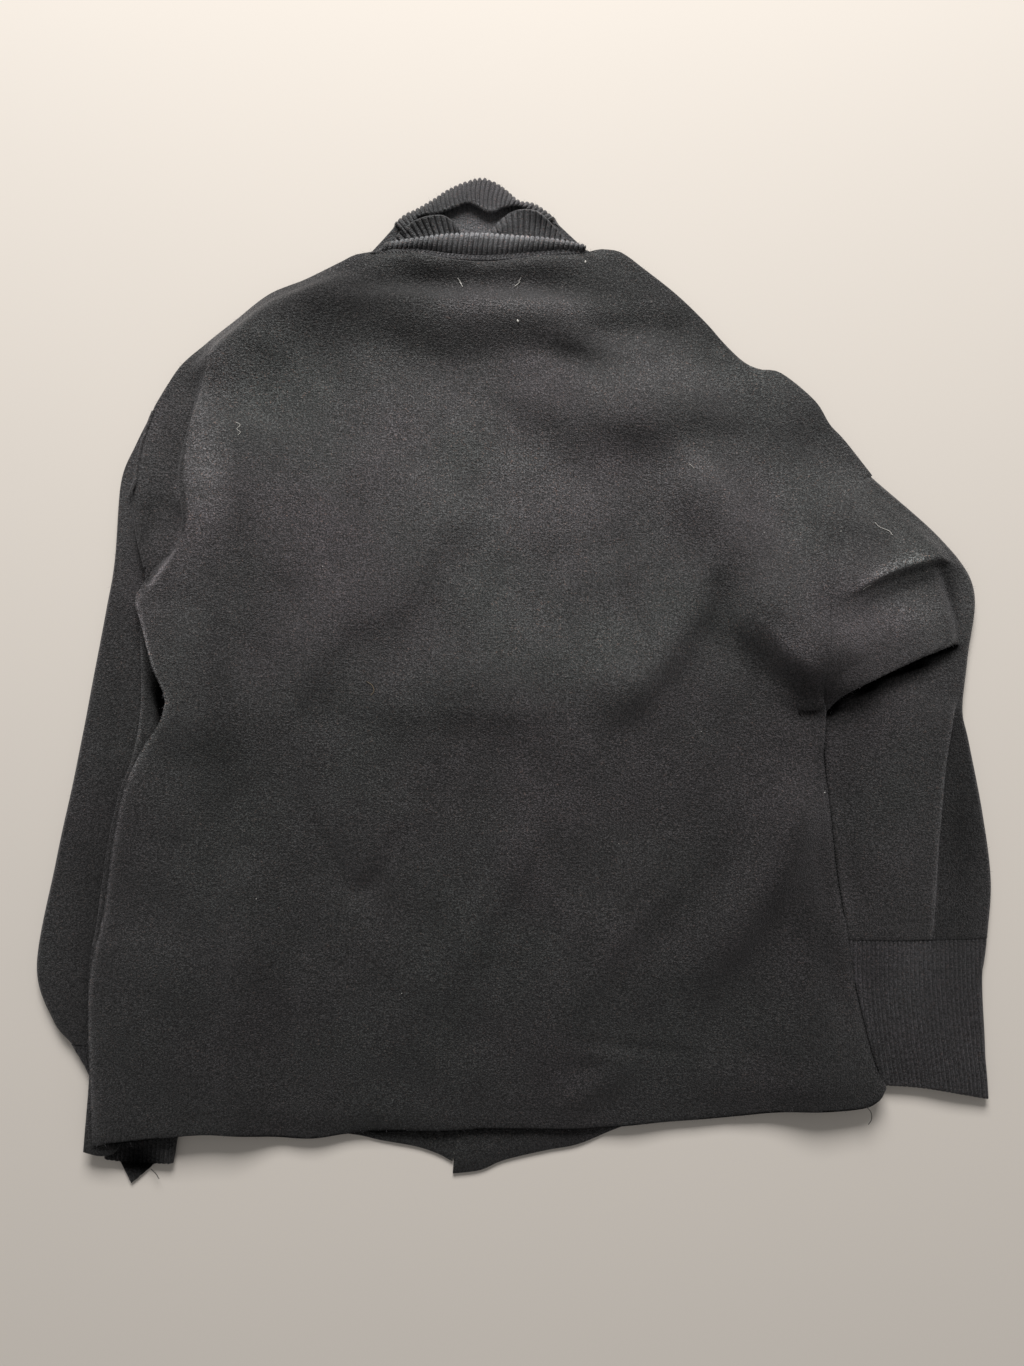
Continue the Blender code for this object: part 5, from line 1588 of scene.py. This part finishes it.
# %% Tacks, lint and loose threads
STRANDS = {
    # name: plan points in millimetres, thickness, thread
    "tack_left_a": ([(-45.0, 322), (-43.5, 320), (-42, 317.5)], 0.5, "pale"),
    "tack_left_b": ([(-43.5, 319), (-42, 317), (-41, 315)], 0.45, "pale"),
    "tack_right_a": ([(0.5, 315), (3, 317), (5, 319)], 0.5, "pale"),
    "tack_right_b": ([(3.5, 319), (5, 320.5), (5.5, 322)], 0.4, "pale"),
    "lint_curl": ([(-221, 206), (-217.5, 204), (-220, 200.5), (-217, 198), (-219, 195.5)], 0.4, "pale"),
    "lint_hook": ([(-118, 0), (-113.5, -3), (-112, -7.5), (-114.5, -11)], 0.4, "brown"),
    "lint_short": ([(139, 173), (141, 171.5), (143, 169)], 0.35, "pale"),
    "lint_bent": ([(285.5, 126), (289, 122.5), (294, 120.5), (297.5, 119), (299.5, 116)], 0.5, "pale"),
    "lint_roll": ([(273, 72), (277, 74.5), (280, 75.5)], 0.4, "pale"),
    "end_right": ([(279, -337), (283.5, -342), (284, -348), (281.5, -352)], 0.6, "dark"),
    "end_left": ([(-292, -392), (-288, -396), (-285.5, -400)], 0.6, "dark"),
}
SPECKS = [
    # x, y, length, width, turn
    (57, 335, 2.6, 1.5, 80), (3, 285, 2.8, 1.6, 110), (246, -88, 1.2, 0.9, 0), (-153, 92, 1.0, 0.8, 20),
    (198, 118, 1.0, 0.7, 60), (257, 118, 0.9, 0.7, 0), (-36, 44, 0.8, 0.6, 0), (84, -130, 0.8, 0.6, 30),
    (-204, -172, 0.9, 0.7, 0), (262, 148, 0.9, 0.6, 45), (-90, -250, 0.7, 0.6, 0), (150, -40, 0.8, 0.6, 0),
]
SPECK_RINGS = ((0.55, -0.35), (1.0, 0.0), (0.6, 0.35))     # size and height of each ring of a speck
SPECK_SIDES = 8
ABOVE_CLOTH = 0.5
lint_threads = {"pale": thread_material("lint", (0.72, 0.70, 0.66)), "dark": dark_thread,
                "brown": thread_material("brown lint", (0.26, 0.20, 0.13))}
strands = []
for name, (points, thickness, kind) in STRANDS.items():
    path = line_object("line", drop(curve(points, even(16)), garment_cloth, ABOVE_CLOTH))
    strands.append(lay(path, thread, "strand_" + name, Thickness=thickness, Material=lint_threads[kind]))


def speck_mesh():
    """Small soft flecks of lint, as one mesh of rounded lozenges."""
    vertices, faces = [], []
    angle = np.linspace(0.0, 2 * np.pi, SPECK_SIDES, endpoint=False)
    for x, y, length, width, turn in SPECKS:
        z = drop([(x, y)], neck_cloth, 0.35)[0][2]
        c, s = math.cos(math.radians(turn)), math.sin(math.radians(turn))
        ids = len(vertices) + np.arange(len(SPECK_RINGS) * SPECK_SIDES).reshape(-1, SPECK_SIDES)
        for size, high in SPECK_RINGS:
            along, across = size * length / 2 * np.cos(angle), size * width / 2 * np.sin(angle)
            ring = [x + along * c - across * s, y + along * s + across * c,
                    np.full(SPECK_SIDES, z + high * width)]
            vertices += np.transpose(ring).tolist()
        faces += quads(ids[:-1], ids[1:]).tolist()
        faces += [ids[0][::-1].tolist(), ids[-1].tolist()]
    flecks = finish_mesh("lint_specks", vertices, faces, np.array(vertices)[:, :2])
    flecks.data.materials.append(lint_threads["pale"])
    return flecks


specks = speck_mesh()
print(len(strands), "strands and", len(SPECKS), "specks")

# %% Fuzz
FUZZ_LINES = [
    # line, strength, reach in millimetres
    (PLEAT, 1.0, 5.0), (LEFT_EDGE, 0.7, 4.0), (ROLL, 0.8, 6.0), (TUCK, 1.0, 6.0), (LONG_STEP, 0.9, 4.0),
    (COLLAR_CREST, 1.0, 4.0), (LOBE_TOP, 0.6, 3.0), (LIP_EDGE, 0.9, 4.0), (FAR_EDGE, 0.5, 4.0),
    (NECK_BAND, 0.7, 5.0), (RIGHT_SHOULDER, 0.4, 4.0), (LEFT_SHOULDER, 0.4, 4.0), (BACK_HEM, 0.35, 3.0),
]
FUZZ_EVERYWHERE = 0.035
# Loose fibres of the same near-black wool, drawn pale grey: their tone is painted sheen, the light they catch
# at a low angle.
fuzz_painted_sheen = thread_material("wool fibres", (0.150, 0.145, 0.155), 0.9)


def mark_fuzz(thing):
    """How thick the fuzz stands at each point: most along worn edges and crests, none underneath."""
    x, y, _ = read(thing).T / MM
    amount = np.full(len(x), FUZZ_EVERYWHERE)
    for line, strength, reach in FUZZ_LINES:
        away, _ = beside(x, y, line, 40)
        amount = np.maximum(amount, strength * np.exp(-(away / reach) ** 2))
    mark(thing, "fuzz", amount * (read(thing, "normal")[:, 2] > -0.2))


FUZZ_DENSITY = 130000.0                     # fibres to a square metre where the mark is 1
fibres = []
for piece in (back, sleeve_left, sleeve_right, *collar, neck_seam):
    mark_fuzz(piece)
    name = piece.name.replace("cloth", "fuzz")
    fibres.append(grow(piece, fuzz, name, Density=FUZZ_DENSITY, Length=3.0, Thickness=0.16, Lean=1.1,
                       Seed=11, Material=fuzz_painted_sheen))
    print(name, triangles(fibres[-1]), "triangles")

# %% [markdown]
# ## What each piece stands for
#
# Every piece rides on the garment's one body and stands in for the solid that it was made on.

# %% Hand the pieces to the frame
for piece in panels + cuffs + collar + [neck_seam]:
    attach(piece, "root")
    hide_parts(piece.name.replace("cloth_", ""))
for piece in seam_threads + strands + [specks] + fibres:
    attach(piece, "root")

# %% Nothing sinks into the floor
CLEAR_OF_FLOOR = 0.05 * MM
for piece in panels + cuffs + collar + [neck_seam, specks] + seam_threads + strands + fibres:
    places = read(piece)
    places[:, 2] = np.maximum(places[:, 2], CLEAR_OF_FLOOR)
    piece.data.vertices.foreach_set("co", places.ravel())
    piece.data.update()
print("lowest point", CLEAR_OF_FLOOR / MM, "mm above the floor")
